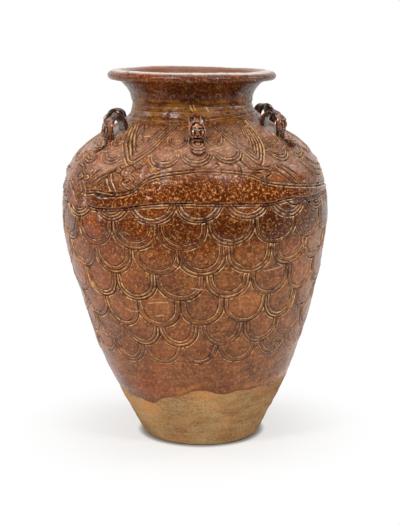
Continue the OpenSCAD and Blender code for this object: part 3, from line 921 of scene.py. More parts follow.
def faded(tree, value, name):
    return ramped(tree, value, *fades[name])


def window(tree, value, name):
    start, full, gone, going = windows[name]
    return times(tree, ramped(tree, value, start, full), ramped(tree, value, gone, going))


# Lays a tint over a colour, as strongly as the masks multiply to
def coated(tree, color, tint, *masks):
    return mixed(tree, times(tree, *masks), color, tone(glaze[tint]))


# Squeezes a pattern's heights, so that its patches lie along the turning
def flattened(tree, vector, amount):
    return add(tree, "ShaderNodeVectorMath", {0: vector, 1: (1, 1, amount)}, operation="MULTIPLY").outputs[0]


def makeGroup(name, inputs, outputs):
    group = bpy.data.node_groups.new(name, "ShaderNodeTree")
    for key, (kind, value) in inputs.items():
        socket = group.interface.new_socket(key, in_out="INPUT", socket_type=kind)
        if value is not None:
            socket.default_value = value
    for key, kind in outputs.items():
        group.interface.new_socket(key, in_out="OUTPUT", socket_type=kind)
    return group, group.nodes.new("NodeGroupInput").outputs, group.nodes.new("NodeGroupOutput").inputs


floatIn, vectorIn, colorIn = "NodeSocketFloat", "NodeSocketVector", "NodeSocketColor"
mottling = {"broad": 0.45, "pool": 0.55, "fineSpeck": 0.45, "speckBump": 0.65, "fineBump": 0.35}
cutLook = {"wander": 1.3, "farSide": (0.25, 0.75)}      # mm, and how the burr fades on the line's left
wearLook = {"noise": (5, 0.68, 0.5), "from": 0.78, "reach": 0.5, "softness": 0.09}


# Uneven glaze: broad drifts, thumb-sized pools and fine specks, over three colours
def mottleGroup():
    group, given, out = makeGroup("mottledGlaze", {
        "Vector": (vectorIn, None), "Thin": (colorIn, (1, 1, 1, 1)), "Body": (colorIn, (0.5, 0.5, 0.5, 1)),
        "Pooled": (colorIn, (0, 0, 0, 1)), "Drift": (floatIn, 0.5), "Speck": (floatIn, 0.5),
    }, {"Color": colorIn, "Bumps": floatIn})
    at = given["Vector"]
    broad, pool = [times(group, blotch(group, at, key), mottling[key]) for key in ("broad", "pool")]
    speck, fine = grain(group, at, "speck"), grain(group, at, "fine")
    drift = times(group, plus(group, broad, pool), given["Drift"])
    color = mixed(group, drift, given["Body"], given["Pooled"])
    dark = times(group, faded(group, speck, "darkSpeck"), given["Speck"])
    color = mixed(group, dark, color, given["Pooled"])
    pale = plus(group, speck, times(group, less(group, fine, 0.5), mottling["fineSpeck"]))
    color = mixed(group, times(group, faded(group, pale, "paleSpeck"), given["Speck"]), color, given["Thin"])
    bumps = plus(group, times(group, speck, mottling["speckBump"]), times(group, fine, mottling["fineBump"]))
    group.links.new(color, out["Color"])
    group.links.new(bumps, out["Bumps"])
    return group


# Lines cut in the clay: glaze pools dark in the groove and thins to tan on the burr beside it
def linesGroup():
    group, given, out = makeGroup("carvedLines", {
        "Vector": (vectorIn, None), "Near": (floatIn, 9.0), "Depth": (floatIn, 0.0), "Side": (floatIn, 0.0),
    }, {"Groove": floatIn, "Burr": floatIn})
    wander = times(group, less(group, grain(group, given["Vector"], "lineWander"), 0.5), cutLook["wander"])
    near = plus(group, given["Near"], wander)
    burr = times(group, window(group, near, "burr"), blotch(group, given["Vector"], "brokenBurr"),
                 lifted(group, given["Side"], *cutLook["farSide"]))
    for key, mask in (("Groove", faded(group, near, "groove")), ("Burr", burr)):
        group.links.new(sums(group, "MULTIPLY", mask, given["Depth"], True), out[key])
    return group


# Patches rubbed bare, where a surface is handled or stands proud
def wearGroup():
    group, given, out = makeGroup("rubbedWear", {
        "Vector": (vectorIn, None), "Amount": (floatIn, 0.5), "Size": (floatIn, 60.0),
    }, {"Mask": floatIn})
    coarse = noise(group, given["Vector"], given["Size"], *wearLook["noise"])
    edge = less(group, wearLook["from"], times(group, given["Amount"], wearLook["reach"]))
    group.links.new(ramped(group, coarse, edge, plus(group, edge, wearLook["softness"])), out["Mask"])
    return group


mottledGlaze, carvedLines, rubbedWear = mottleGroup(), linesGroup(), wearGroup()

# How strongly each thing shows; a pair gives the least of a patchy one and what the patches add
wallLook = {
    "bandWander": 60,                                   # in mm
    "fireAlongX": -2.4, "fireUneven": 1.7,              # the fire's side lies at the left
    "rustPatch": (0.35, 0.65), "rust": 0.75, "rustRun": 0.9, "smoke": 0.5, "dragonBody": 0.9,
    "drift": 0.78, "dragonDrift": 0.1, "runDrift": -0.4,
    "speck": 0.44, "upperSpeck": 0.22, "dragonSpeck": 0.38,
    "flat": 2.2, "olive": 0.62, "curl": 0.55, "drip": 0.5, "throwing": 0.3, "shoulderSheen": 0.26, "shade": 0.34,
    "pinhole": 0.8, "bloom": 0.32, "crust": 0.7, "throat": 0.72, "lipRubbed": (0.8, 70),
    "lipWearAndSheen": (0.25, 0.75), "wash": 0.5, "edgeLine": (0.2, 0.5), "scratch": 0.5,
    "rough": (0.09, 0.26), "dragonRough": -0.10, "rustRough": -0.09, "crustRough": 0.3, "bareRough": 0.88,
    "glazeRelief": 0.75, "clayRelief": 0.9, "grooveRelief": -0.6, "bump": 0.7, "bumpHeight": 0.0009,
    "gloss": 0.32,
}
clayLook = {
    "flat": 2.6, "wander": 9, "stain": 0.9, "fireSide": 0.75, "flush": (0.12, 0.6), "ash": 0.6,
    "paleFleck": 0.45, "crack": 0.4, "darkFleck": 0.6,
}


def heightRamp(tree, height):
    stops = glaze["bands"]
    low, high = stops[0][0], stops[-1][0]
    position = add(tree, "ShaderNodeMapRange", {"Value": height, "From Min": low, "From Max": high})
    ramp = add(tree, "ShaderNodeValToRGB", {"Fac": position.outputs["Result"]})
    elements = ramp.color_ramp.elements
    while len(elements) < len(stops):
        elements.new(0.5)
    for element, (at, color) in zip(elements, stops):
        element.position = (at - low) / (high - low)
        element.color = tone(color)
    return ramp.outputs["Color"]


# The glaze all over the wall: colour by height, rust on the side that faced the fire, pools and specks
def wallGlaze(tree, at, height, dragonSkin):
    look = wallLook
    wander = times(tree, less(tree, grain(tree, at, "bandWander"), 0.5), look["bandWander"])
    level = add(tree, "ShaderNodeMix", {0: faded(tree, height, "nearNeck"), 2: plus(tree, height, wander),
                                        3: height}, data_type="FLOAT")
    body = heightRamp(tree, level.outputs[0])
    along = add(tree, "ShaderNodeSeparateXYZ", {0: at}).outputs["X"]
    uneven = times(tree, grain(tree, at, "fireSide"), look["fireUneven"])
    fireSide = faded(tree, plus(tree, times(tree, along, look["fireAlongX"]), uneven), "fireSide")
    patch = lifted(tree, blotch(tree, at, "rust"), *look["rustPatch"])
    run = times(tree, reading(tree, "rustRun"), blotch(tree, at, "rustRun"), look["rustRun"])
    body = coated(tree, body, "rust", fireSide, patch, look["rust"])
    body = coated(tree, body, "smoke", less(tree, 1.0, fireSide), blotch(tree, at, "smoke"), look["smoke"])
    body = coated(tree, body, "rust", run)
    body = coated(tree, body, "dragonBody", dragonSkin, look["dragonBody"])
    drift = plus(tree, look["drift"], times(tree, dragonSkin, look["dragonDrift"]),
                 times(tree, run, look["runDrift"]))
    speck = plus(tree, look["speck"], times(tree, faded(tree, height, "upperSpeck"), look["upperSpeck"]),
                 times(tree, dragonSkin, look["dragonSpeck"]))
    mottle = add(tree, "ShaderNodeGroup", {
        "Vector": at, "Thin": mixed(tree, dragonSkin, tone(glaze["thin"]), tone(glaze["amberSpeck"])),
        "Body": body, "Pooled": tone(glaze["pooled"]), "Drift": drift,
        "Speck": times(tree, speck, faded(tree, height, "neckSpeck")),
    }, node_tree=mottledGlaze)
    return mottle.outputs["Color"], mottle.outputs["Bumps"], fireSide, run


# Unglazed clay: turned streaks, stains, flushed and ashy patches, flecks and thin cracks
def bareClay(tree, at, height, rise, fireSide):
    look = clayLook
    flat = flattened(tree, at, look["flat"])
    wander = times(tree, grain(tree, at, "clayWander"), look["wander"])
    flecks = grain(tree, at, "clayFleck")
    clay = coated(tree, tone(glaze["clay"]), "clayDark", turning(tree, plus(tree, height, wander), "clay"),
                  blotch(tree, at, "clayStreak"))
    clay = coated(tree, clay, "clayDark", blotch(tree, flat, "stain"), look["stain"])
    clay = coated(tree, clay, "clayPale", fireSide, look["fireSide"])
    clay = coated(tree, clay, "flush", blotch(tree, at, "flush"), faded(tree, rise, "flush"),
                  lifted(tree, fireSide, *look["flush"]))
    clay = coated(tree, clay, "ash", blotch(tree, flat, "ash"), look["ash"])
    clay = coated(tree, clay, "clayPale", faded(tree, flecks, "clayPale"), look["paleFleck"])
    clay = coated(tree, clay, "edgeLine", vein(tree, flat, "crack"), look["crack"])
    return coated(tree, clay, "clayDark", faded(tree, flecks, "clayDark"), look["darkFleck"])


def rubbed(tree, at, amount, size):
    made = add(tree, "ShaderNodeGroup", {"Vector": at, "Amount": amount, "Size": size}, node_tree=rubbedWear)
    return made.outputs["Mask"]


# The last nodes of a material
def finished(tree, color, rough, relief, look):
    bump = add(tree, "ShaderNodeBump", {"Strength": look["bump"], "Distance": look["bumpHeight"],
                                        "Height": relief})
    shader = add(tree, "ShaderNodeBsdfPrincipled", {
        "Base Color": color, "Roughness": rough, "Specular IOR Level": look["gloss"],
        "Normal": bump.outputs["Normal"],
    })
    add(tree, "ShaderNodeOutputMaterial", {"Surface": shader.outputs["BSDF"]})


def wallMaterial(name):
    look = wallLook
    material = bpy.data.materials.new(name)
    tree = emptyTree(material)
    at = add(tree, "ShaderNodeTexCoord").outputs["Object"]
    flat = flattened(tree, at, look["flat"])
    height, rise, dragonSkin = [reading(tree, key) for key in ("jarHeight", "glazeRise", "dragonBody")]
    nearCuts = reading(tree, "cutNear")
    lines = add(tree, "ShaderNodeGroup", {"Vector": at, "Near": nearCuts, "Depth": reading(tree, "cutDepth"),
                                          "Side": reading(tree, "cutSide")}, node_tree=carvedLines)
    groove, burr = lines.outputs["Groove"], lines.outputs["Burr"]
    color, glazeBumps, fireSide, rust = wallGlaze(tree, at, height, dragonSkin)

    # amber and olive streaks round the collar, and pale curls left by the wiping under the lip
    color = coated(tree, color, "olive", window(tree, height, "collar"), blotch(tree, flat, "olive"),
                   look["olive"])
    underLip = window(tree, height, "underLip")
    color = coated(tree, color, "dustAndSheen", underLip, vein(tree, at, "curlLine"), blotch(tree, at, "curl"),
                   look["curl"])
    color = coated(tree, color, "rust", underLip, blotch(tree, at, "drip"), look["drip"])

    # fine throwing lines, pale patches of painted sheen on the upper shoulder, then the cuts with their shade
    # and burrs
    color = coated(tree, color, "pooled", turning(tree, height, "throwing"), look["throwing"])
    color = coated(tree, color, "dustAndSheen", faded(tree, height, "shoulderSheen"), blotch(tree, at, "shoulderSheen"),
                   faded(tree, height, "shoulderSheenEnd"), less(tree, 1.0, rust), look["shoulderSheen"])
    color = coated(tree, color, "pooled", faded(tree, nearCuts, "cutShade"), blotch(tree, at, "shade"),
                   look["shade"])
    color = coated(tree, color, "burr", burr, faded(tree, height, "rubbedBurr"))
    color = coated(tree, color, "groove", groove, faded(tree, height, "filledGroove"))

    # pinholes and chalky blooms
    color = coated(tree, color, "pooled", blotch(tree, at, "pinhole"), look["pinhole"])
    flecks = plus(tree, times(tree, reading(tree, "bloom"), look["bloom"]), grain(tree, at, "fleck"))
    crust = faded(tree, flecks, "crust")
    color = coated(tree, color, "bloom", crust, look["crust"])

    # worn lip and the throat inside it: the pale lip tint is partly worn glaze and partly painted sheen on
    # the top of the lip, and the throat tint is lightened as painted sheen inside the mouth
    color = coated(tree, color, "throat", reading(tree, "throat"), look["throat"])
    worn = lifted(tree, rubbed(tree, at, *look["lipRubbed"]), *look["lipWearAndSheen"])
    color = coated(tree, color, "lip", reading(tree, "lipWearAndSheen"), worn)

    # near its edge the glaze is a thin wash on the side away from the fire, and ends in a dark line
    color = coated(tree, color, "flush", faded(tree, rise, "wash"), faded(tree, fireSide, "coolSide"),
                   blotch(tree, flat, "wash"), look["wash"])
    color = coated(tree, color, "edgeLine", window(tree, rise, "edgeLine"),
                   lifted(tree, fireSide, *look["edgeLine"]))
    bare = faded(tree, rise, "bare")
    color = mixed(tree, bare, color, bareClay(tree, at, height, rise, fireSide))
    scratch = plus(tree, reading(tree, "scratchNear"), grain(tree, at, "scratch"))
    color = coated(tree, color, "scratch", faded(tree, scratch, "scratch"), look["scratch"])

    rough = plus(tree, lifted(tree, grain(tree, at, "gloss"), *look["rough"]),
                 times(tree, dragonSkin, look["dragonRough"]), times(tree, rust, look["rustRough"]),
                 times(tree, crust, look["crustRough"]))
    rough = sums(tree, "MAXIMUM", rough, times(tree, bare, look["bareRough"]))
    relief = plus(tree, times(tree, glazeBumps, look["glazeRelief"]),
                  times(tree, grain(tree, at, "grit"), bare, look["clayRelief"]),
                  times(tree, groove, look["grooveRelief"]))
    finished(tree, color, rough, relief, look)
    return material


# Glaze of the loops and masks, and of the pads below them
lugGlaze = {
    "lugs": {"body": (64, 29, 12), "pooled": (10, 3, 1), "thin": (176, 118, 76), "raised": (146, 90, 56),
             "rough": (0.09, 0.16), "gloss": 0.85, "bump": 0.5, "bumpHeight": 0.0005},
    "pads": {"body": (96, 50, 22), "pooled": (34, 12, 3), "thin": (190, 132, 78), "raised": (158, 100, 58),
             "rough": (0.18, 0.16), "gloss": 0.5, "bump": 0.5, "bumpHeight": 0.0005},
    "drift": 0.85, "speck": 0.4, "rubbed": (0.9, 120), "warmShare": 0.5, "wearShare": 0.5, "hollow": 0.9,
}


def lugMaterial(name, look):
    shared = lugGlaze
    material = bpy.data.materials.new(name)
    tree = emptyTree(material)
    at = add(tree, "ShaderNodeTexCoord").outputs["Object"]
    mottle = add(tree, "ShaderNodeGroup", {
        "Vector": at, "Thin": tone(look["thin"]), "Body": tone(look["body"]), "Pooled": tone(look["pooled"]),
        "Drift": shared["drift"], "Speck": shared["speck"],
    }, node_tree=mottledGlaze)
    raised = reading(tree, "raised")
    worn = plus(tree, times(tree, reading(tree, "warm"), shared["warmShare"]),
                times(tree, rubbed(tree, at, *shared["rubbed"]), shared["wearShare"]))
    color = mixed(tree, times(tree, faded(tree, raised, "ridge"), worn), mottle.outputs["Color"],
                  tone(look["raised"]))
    color = mixed(tree, times(tree, faded(tree, raised, "hollow"), shared["hollow"]), color,
                  tone(look["pooled"]))
    rough = lifted(tree, grain(tree, at, "lugGloss"), *look["rough"])
    finished(tree, color, rough, mottle.outputs["Bumps"], look)
    return material


materials = {slot: wallMaterial(slot) for slot in
             ("bare_clay", "foot_glaze_edge", "brown_glaze", "amber_glaze", "worn_rim")}
materials["dark_glaze"] = lugMaterial("dark_glaze", lugGlaze["lugs"])
materials["padGlaze"] = lugMaterial("padGlaze", lugGlaze["pads"])
print("stage: glazes mixed")

for k, course in enumerate(courses):
    buildCourse(course, starts[k], starts[k + 1], materials[course["slot"]])
buildRim(materials["worn_rim"])
print("stage: courses, collar and rim built")

# Lug shapes are made once about a loop's own centre: x runs outwards, y along the strap's width, z up
loop = {
    "path": [[-14.2, -11], [-14, -4], [-12.9, 4.8], [-8.8, 12.8], [-0.8, 16.8], [7.4, 13.4], [11.8, 5],
             [12.6, -4], [12.5, -12], [13.6, -23]],
    "halfWidth": 12, "halfThick": 3.1, "lengthSteps": 84, "roundSteps": 76, "spanSteps": 40,
    "flatness": (0.55, 0.6),            # of the strap's wide and narrow sides; 1 would be round
    "ribs": 1.2, "ribsAcross": 8.5, "twist": 8.0, "ribTint": 0.6,
    "swell": 0.06, "swells": 9, "wideEnds": 0.12, "narrower": 0.04,
    "ripple": 0.25, "ripplesAlong": 40, "ripplesAcross": 0.6,
}
mask = {
    "dome": 26.5, "inset": 4.5, "drop": 2, "halfWidth": 13.4, "top": 18.5, "bottom": 18.5,
    "rings": 56, "spokes": 150, "hole": 0.03, "narrowChin": 0.10, "browFrom": 3, "browSlope": 0.016,
    # the loop that it's bent over, and how its edge comes down to it
    "seat": 14.4, "seatSquash": 0.8, "seatLeast": 3, "edgePower": 10, "edgeHeight": 0.6, "dropIn": 0.9,
    "leastThick": 0.8, "back": 0.8, "tintPerMm": 1 / 1.6,
    # side, up, half width, half height and rise of every swelling or hollow of the face
    "single": [[0, 10.6, 3.2, 2.4, 1.8], [0, 1.6, 1.35, 5.2, 3.0], [0, -3.6, 2.3, 1.9, 1.9],
               [0, -10.4, 5.6, 1.0, -3.0], [0, -13.6, 4.6, 1.9, 1.6], [0, -7.2, 1.0, 1.6, -0.6],
               [0, 13.8, 1.6, 1.5, 1.0]],
    "paired": [[4.4, 7.3, 3.2, 1.35, 1.9], [4.2, 4.4, 2.7, 1.7, -1.5], [4.1, 4.0, 1.35, 1.1, 1.7],
               [2.3, -4.4, 1.2, 1.1, 1.0], [1.7, -6.0, 0.8, 0.7, -1.2], [7.6, -2.2, 2.6, 3.8, 1.9],
               [4.7, -2.4, 1.0, 3.2, -1.2], [3.1, -7.9, 2.5, 1.3, 1.4], [7.4, -9.2, 1.8, 2.4, 1.2],
               [9.6, 8.6, 2.1, 2.2, 1.3], [4.4, -17.0, 0.8, 2.6, -1.0], [6.0, -15.6, 1.6, 3.0, 1.2],
               [1.6, -17.0, 0.8, 2.6, -0.9]],
    # the hood's edge: half width, half height, middle, depth of the dark line and how far the hood stands out
    "hood": {"wide": 9.9, "tall": 12.4, "middle": 1.2, "line": 1.7, "lineWidth": 0.075, "proud": 1.2,
             "locks": 13, "lockDepth": 0.4, "above": (-11, -4), "outside": (1.03, 1.14)},
}
pad = {
    "inner": 17.5, "middle": 27, "outer": 39.5, "halfWidth": 12, "thick": 4.4, "spokes": 96, "rings": 26,
    "thinner": 0.6, "edgePower": 7, "under": 1.6,
    "arcs": [4.6, 9.4, 13.6], "arcMiddle": 21, "arcDepth": 1.5, "arcWidth": 0.8, "arcPower": 8,
    "tint": 0.7, "arcTint": 1.6, "edgeTint": 0.9,
}


def lugPlace(index, local):
    a = math.radians(lugRing["turn"] + lugRing["apart"] * index - 90)
    out = lugRing["radius"] + local[:, 0]
    x = out * math.cos(a) - local[:, 1] * math.sin(a)
    y = out * math.sin(a) + local[:, 1] * math.cos(a)
    return leaned(x, y, lugRing["height"] + local[:, 2])


def alongPath(path, count):
    path = np.array(path, float)
    line = np.vstack([softCurve(path, lambda b, c: loop["spanSteps"]), path[-1:]])
    length = np.concatenate([[0], np.cumsum(np.linalg.norm(np.diff(line, axis=0), axis=1))])
    even = np.linspace(0, length[-1], count)
    return np.stack([np.interp(even, length, line[:, k]) for k in (0, 1)], 1)


def loopShape(dice):
    lengthSteps, roundSteps = loop["lengthSteps"], loop["roundSteps"]
    centre = alongPath(loop["path"], lengthSteps)
    direction = np.gradient(centre, axis=0)
    direction /= np.linalg.norm(direction, axis=1)[:, None]
    outwards = np.stack([-direction[:, 1], direction[:, 0]], 1)
    v = np.arange(roundSteps) * 2 * np.pi / roundSteps
    wide, narrow = loop["flatness"]
    across = np.sign(np.cos(v)) * np.abs(np.cos(v))**wide * loop["halfWidth"]
    thick = np.sign(np.sin(v)) * np.abs(np.sin(v))**narrow * loop["halfThick"]
    u = np.linspace(0, 1, lengthSteps)[:, None]
    phase = dice.uniform(0, 6)
    ribs = np.cos(across / loop["halfWidth"] * loop["ribsAcross"] + u * loop["twist"] + phase) * (thick > 0)
    swell = 1 + loop["swell"] * np.sin(u * loop["swells"] + phase)
    swell = swell + loop["wideEnds"] * (np.abs(u - 0.5) * 2)**3
    width = across[None, :] * (swell - loop["narrower"])
    ripple = loop["ripple"] * np.sin(u * loop["ripplesAlong"] + across * loop["ripplesAcross"])
    depth = thick[None, :] * swell + loop["ribs"] * ribs + ripple
    x, z = [centre[:, [k]] + outwards[:, [k]] * depth for k in (0, 1)]
    body = np.stack([x, width, z], -1).reshape(-1, 3)
    faces = quads(0, lengthSteps - 1, roundSteps)
    faces.append(tuple(range(roundSteps))[::-1])
    faces.append(tuple(range((lengthSteps - 1) * roundSteps, lengthSteps * roundSteps)))
    return body, faces, (ribs * loop["ribTint"]).reshape(-1)


# Faces of a front and a back sheet of rings, closed in the middle and round the edge
def twoSheets(rings, spokes):
    total = rings * spokes
    faces = quads(0, rings - 1, spokes, flip=True) + quads(0, rings - 1, spokes, total)
    faces.append(tuple(range(spokes)))
    faces.append(tuple(range(total, total + spokes))[::-1])
    faces += band(total - spokes, 2 * total - spokes, spokes)
    return faces


# How far the carved face stands out of the mask's dome
def faceRise(side, up):
    rise = 0 * side
    marks = mask["single"] + [[sign * m[0]] + m[1:] for m in mask["paired"] for sign in (-1, 1)]
    for atSide, atUp, wide, tall, amount in marks:
        rise += amount * np.exp(-((side - atSide) / wide)**2 - ((up - atUp) / tall)**2)
    hood = mask["hood"]
    reach = np.hypot(side / hood["wide"], (up - hood["middle"]) / hood["tall"])
    around = np.arctan2(up - hood["middle"], side)
    upper = smooth(*hood["above"], up)
    rise -= hood["line"] * np.exp(-((reach - 1.0) / hood["lineWidth"])**2) * upper
    locks = hood["lockDepth"] * np.cos(around * hood["locks"])
    rise += smooth(*hood["outside"], reach) * upper * (hood["proud"] + locks)
    return rise


# A shield bent over the loop, carved on its front
def maskShape():
    rings, spokes = mask["rings"], mask["spokes"]
    share, angle = np.meshgrid(np.linspace(mask["hole"], 1, rings), np.arange(spokes) * 2 * np.pi / spokes,
                               indexing="ij")
    chin = 1 - mask["narrowChin"] * smooth(0, -1, np.sin(angle)) * share
    side = mask["halfWidth"] * share * np.cos(angle) * chin
    up = share * np.sin(angle) * np.where(np.sin(angle) > 0, mask["top"], mask["bottom"])
    dome = np.sqrt(mask["dome"]**2 - side**2 - up**2) - mask["inset"]
    dome = dome - mask["browSlope"] * np.clip(up - mask["browFrom"], 0, None)**2
    height = up - mask["drop"]
    bent = np.clip(mask["seat"]**2 - (mask["seatSquash"] * height)**2, mask["seatLeast"]**2, None)
    seat = np.where(height > 0, np.sqrt(bent), mask["seat"])
    rise = faceRise(side, up)
    edge = np.clip(1 - share**mask["edgePower"], 0, 1)**0.5
    low = seat - mask["edgeHeight"]
    front = low + np.clip(dome - mask["dropIn"] + rise - low, mask["leastThick"], None) * edge
    back = seat - mask["back"] - mask["edgeHeight"] * edge
    body = np.vstack([np.stack([sheet, side, height], -1).reshape(-1, 3) for sheet in (front, back)])
    tint = np.concatenate([rise * mask["tintPerMm"], 0 * rise]).reshape(-1)
    return body, twoSheets(rings, spokes), tint


# A tongue of clay pressed on the shoulder, with arcs pressed round its middle
def padShape():
    spokes, rings, middle = pad["spokes"], pad["rings"], pad["middle"]
    angle = np.arange(spokes) * 2 * np.pi / spokes
    reach = np.where(np.cos(angle) < 0, middle - pad["inner"], pad["outer"] - middle)
    top, bottom, tint = [], [], []
    for k in range(1, rings + 1):
        share = k / rings
        x = middle + reach * share * np.cos(angle)
        y = pad["halfWidth"] * share * np.sin(angle)
        spread = np.hypot(x - pad["arcMiddle"], y)
        dip = sum(np.exp(-((spread - r) / pad["arcWidth"])**2) for r in pad["arcs"])
        lift = pad["thick"] - pad["thinner"] + pad["thinner"] * np.cos(angle)
        lift = lift * math.sqrt(max(0, 1 - share**pad["edgePower"]))
        lift = lift - pad["arcDepth"] * dip * (1 - share**pad["arcPower"])
        top.append(np.stack([x, y, lift], -1))
        bottom.append(np.stack([x, y, lift * 0 - pad["under"]], -1))
        tint.append(pad["tint"] - pad["arcTint"] * dip - pad["edgeTint"] * share**pad["arcPower"])
    flat = np.vstack(top + bottom)
    # bent to the shoulder's surface
    radius = lugRing["radius"] + flat[:, 0]
    above = wall[:, 1] > jar["bellyHeight"]
    outer = np.hypot(radius, flat[:, 1])
    height = np.interp(-outer, -wall[above, 0], wall[above, 1])
    normal = normalAt(lengthAt(height))
    grow = 1 + flat[:, 2] * normal[:, 0] / outer
    local = np.stack([radius * grow - lugRing["radius"], flat[:, 1] * grow,
                      height + flat[:, 2] * normal[:, 1] - lugRing["height"]], -1)
    return local, twoSheets(rings, spokes), np.tile(np.concatenate(tint), 2)


# For x, y and z, the two waves that bend them: along which axis, how close, and with which phase
bends = [[(1, 0.16, 0), (2, 0.23, 1)], [(2, 0.18, 2), (0, 0.2, 0)], [(1, 0.2, 1), (0, 0.17, 2)]]


def warped(shape, dice, amount):
    phases = dice.uniform(0, 6, 3)
    waves = [sum(np.sin(shape[:, axis] * close + phases[k]) for axis, close, k in pair) for pair in bends]
    return shape + amount * np.stack(waves, -1)


def buildLug(index, place, kind, shape, warm, material):
    body, faces, raised = shape
    newMesh(kind + "_" + place, lugPlace(index, body), faces, {"raised": raised, "warm": raised * 0 + warm},
            "lug_" + kind + "_" + place, materials[material], lugRing["sharpAngles"][kind])


maskBody, maskFaces, maskRaised = maskShape()
padShaped = padShape()
for index, place in enumerate(lugRing["places"]):
    dice = np.random.default_rng(lugRing["seed"] + index)
    body, faces, raised = loopShape(dice)
    warm = 1.0 if place == "front" else dice.uniform(*lugRing["warmth"])      # the front one is the redder
    looped = warped(body, dice, lugRing["loopWarp"]), faces, raised
    masked = warped(maskBody, dice, lugRing["maskWarp"]), maskFaces, maskRaised
    buildLug(index, place, "loop", looped, warm, "dark_glaze")
    buildLug(index, place, "mask", masked, warm, "dark_glaze")
    buildLug(index, place, "pad", padShaped, 1, "padGlaze")
print("stage: lugs, masks and pads built")

studio = {
    "floorSize": 8.0,
    "white": (1, 1, 1, 1), "paper": (0.84, 0.83, 0.82, 1),
    "shadowPaper": (0.29, 0.28, 0.27, 1), "shadowGlow": 0.56, "whiteFrom": (0.11, 0.32),
    "fillLight": 0.46,       # what the white surroundings give to matt surfaces
    # the floor in front of the jar is darker in reflections: from where to where along Y, and how bright
    "frontFloor": (-1.3, -0.25), "darkFloor": 0.08,
    # how far from the foot the dark line on the floor, a painted contact shadow, reaches, in metres, and how
    # it fades
    "contactShadeReach": 0.014, "contactShadeFade": (0.32, 0.92), "contactShadeSamples": 12,
    # the room behind the camera in reflections: how bright, and from where to where it brightens
    "darkFront": 0.06, "brightens": (0.12, 0.88),
    "aim": (0, 0, 0.4),      # where the soft boxes point
    # place, size and power of each soft box
    "lamps": [
        {"name": "overheadBox", "at": (0.0, 0.1, 2.4), "size": (1.7, 1.6), "power": 15},
        {"name": "leftKeyBox", "at": (-1.0, -1.36, 1.81), "size": (0.42, 0.34), "power": 32},
        {"name": "rightKeyBox", "at": (1.05, -1.34, 1.80), "size": (0.42, 0.34), "power": 22},
        {"name": "leftEdgeBox", "at": (-1.7, 0.25, 1.3), "size": (0.35, 0.5), "power": 7},
        {"name": "rightEdgeBox", "at": (1.7, 0.25, 1.3), "size": (0.35, 0.5), "power": 9},
    ],
}


# 1 for rays of these kinds
def rayIs(tree, *kinds):
    path = add(tree, "ShaderNodeLightPath").outputs
    result = path["Is " + kinds[0] + " Ray"]
    for kind in kinds[1:]:
        result = sums(tree, "MAXIMUM", result, path["Is " + kind + " Ray"])
    return result


def makeWorld():
    world = bpy.data.worlds.new("studioWorld")
    tree = emptyTree(world)
    at = add(tree, "ShaderNodeTexCoord").outputs["Generated"]
    toward = add(tree, "ShaderNodeSeparateXYZ", {0: at}).outputs["Y"]
    room = ramped(tree, toward, *studio["brightens"], studio["darkFront"], 1.0)
    clear, glossy = rayIs(tree, "Camera", "Transmission"), rayIs(tree, "Glossy")
    seen = sums(tree, "MAXIMUM", clear, times(tree, glossy, room))
    dim = add(tree, "ShaderNodeBackground", {"Color": studio["white"], "Strength": studio["fillLight"]})
    white = add(tree, "ShaderNodeBackground", {"Color": studio["white"], "Strength": seen})
    either = add(tree, "ShaderNodeMixShader", {0: sums(tree, "MAXIMUM", clear, glossy), 1: dim.outputs[0],
                                               2: white.outputs[0]})
    add(tree, "ShaderNodeOutputWorld", {"Surface": either.outputs[0]})
    bpy.context.scene.world = world


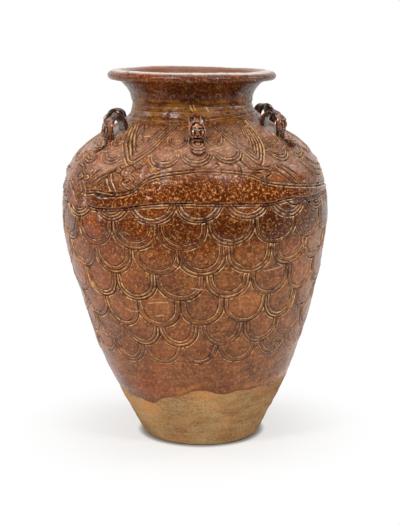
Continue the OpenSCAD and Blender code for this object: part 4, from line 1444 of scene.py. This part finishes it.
def makeFloor():
    half = studio["floorSize"] / 2
    shape = bpy.data.meshes.new("floor")
    corners = [(-half, -half, 0), (half, -half, 0), (half, half, 0), (-half, half, 0)]
    shape.from_pydata(corners, [], [(0, 1, 2, 3)])
    floor = bpy.data.objects.new("floor", shape)
    bpy.context.scene.collection.objects.link(floor)
    material = bpy.data.materials.new("paleFloor")
    tree = emptyTree(material)
    place = add(tree, "ShaderNodeTexCoord").outputs["Object"]
    # close to the jar the paper is greyer, and its glow dims right under it as a painted contact shadow
    contactShade = add(tree, "ShaderNodeAmbientOcclusion", {"Distance": studio["contactShadeReach"]},
                  samples=studio["contactShadeSamples"]).outputs["AO"]
    litFloor = times(tree, ramped(tree, contactShade, *studio["contactShadeFade"]), studio["shadowGlow"])
    softer = add(tree, "ShaderNodeBsdfDiffuse", {"Color": studio["shadowPaper"]})
    glow = add(tree, "ShaderNodeEmission", {"Color": studio["white"], "Strength": litFloor})
    near = add(tree, "ShaderNodeAddShader", {0: softer.outputs[0], 1: glow.outputs[0]})
    # farther out it is white, but dark in front in reflections
    away = add(tree, "ShaderNodeVectorMath", {0: place}, operation="LENGTH").outputs["Value"]
    forward = add(tree, "ShaderNodeSeparateXYZ", {0: place}).outputs["Y"]
    shade = ramped(tree, forward, *studio["frontFloor"], studio["darkFloor"], 1.0)
    mirrored = times(tree, less(tree, 1.0, shade), rayIs(tree, "Glossy"))
    white = add(tree, "ShaderNodeEmission", {"Color": studio["white"], "Strength": less(tree, 1.0, mirrored)})
    shown = add(tree, "ShaderNodeMixShader", {0: ramped(tree, away, *studio["whiteFrom"]), 1: near.outputs[0],
                                              2: white.outputs[0]})
    paper = add(tree, "ShaderNodeBsdfDiffuse", {"Color": studio["paper"]})
    seen = add(tree, "ShaderNodeMixShader", {0: rayIs(tree, "Camera", "Glossy", "Transmission"),
                                             1: paper.outputs[0], 2: shown.outputs[0]})
    add(tree, "ShaderNodeOutputMaterial", {"Surface": seen.outputs[0]})
    shape.materials.append(material)


def makeLamps():
    for lamp in studio["lamps"]:
        light = bpy.data.lights.new(lamp["name"], "AREA")
        light.shape = "RECTANGLE"
        light.size, light.size_y = lamp["size"]
        light.energy = lamp["power"]
        holder = bpy.data.objects.new(lamp["name"], light)
        holder.location = lamp["at"]
        toward = Vector(studio["aim"]) - Vector(lamp["at"])
        holder.rotation_euler = toward.to_track_quat("-Z", "Y").to_euler()
        bpy.context.scene.collection.objects.link(holder)


# The photo's camera: metres from the jar, degrees down, and mm of the lens and the sensor
photoView = {"away": 2.100, "height": 0.6943, "side": 0.0081, "pitch": 11.07, "lens": 116.78, "sensor": 36.0}


def makeCamera():
    lens = bpy.data.cameras.new("photoCamera")
    lens.sensor_fit = "HORIZONTAL"
    lens.sensor_width = photoView["sensor"]
    lens.lens = photoView["lens"]
    camera = bpy.data.objects.new("photoCamera", lens)
    camera.location = (photoView["side"], -photoView["away"], photoView["height"])
    camera.rotation_euler = (math.radians(90 - photoView["pitch"]), 0, 0)
    bpy.context.scene.collection.objects.link(camera)
    bpy.context.scene.camera = camera


makeWorld()
makeFloor()
makeLamps()
makeCamera()
bpy.context.scene.view_settings.view_transform = "Standard"
print("stage: studio set")
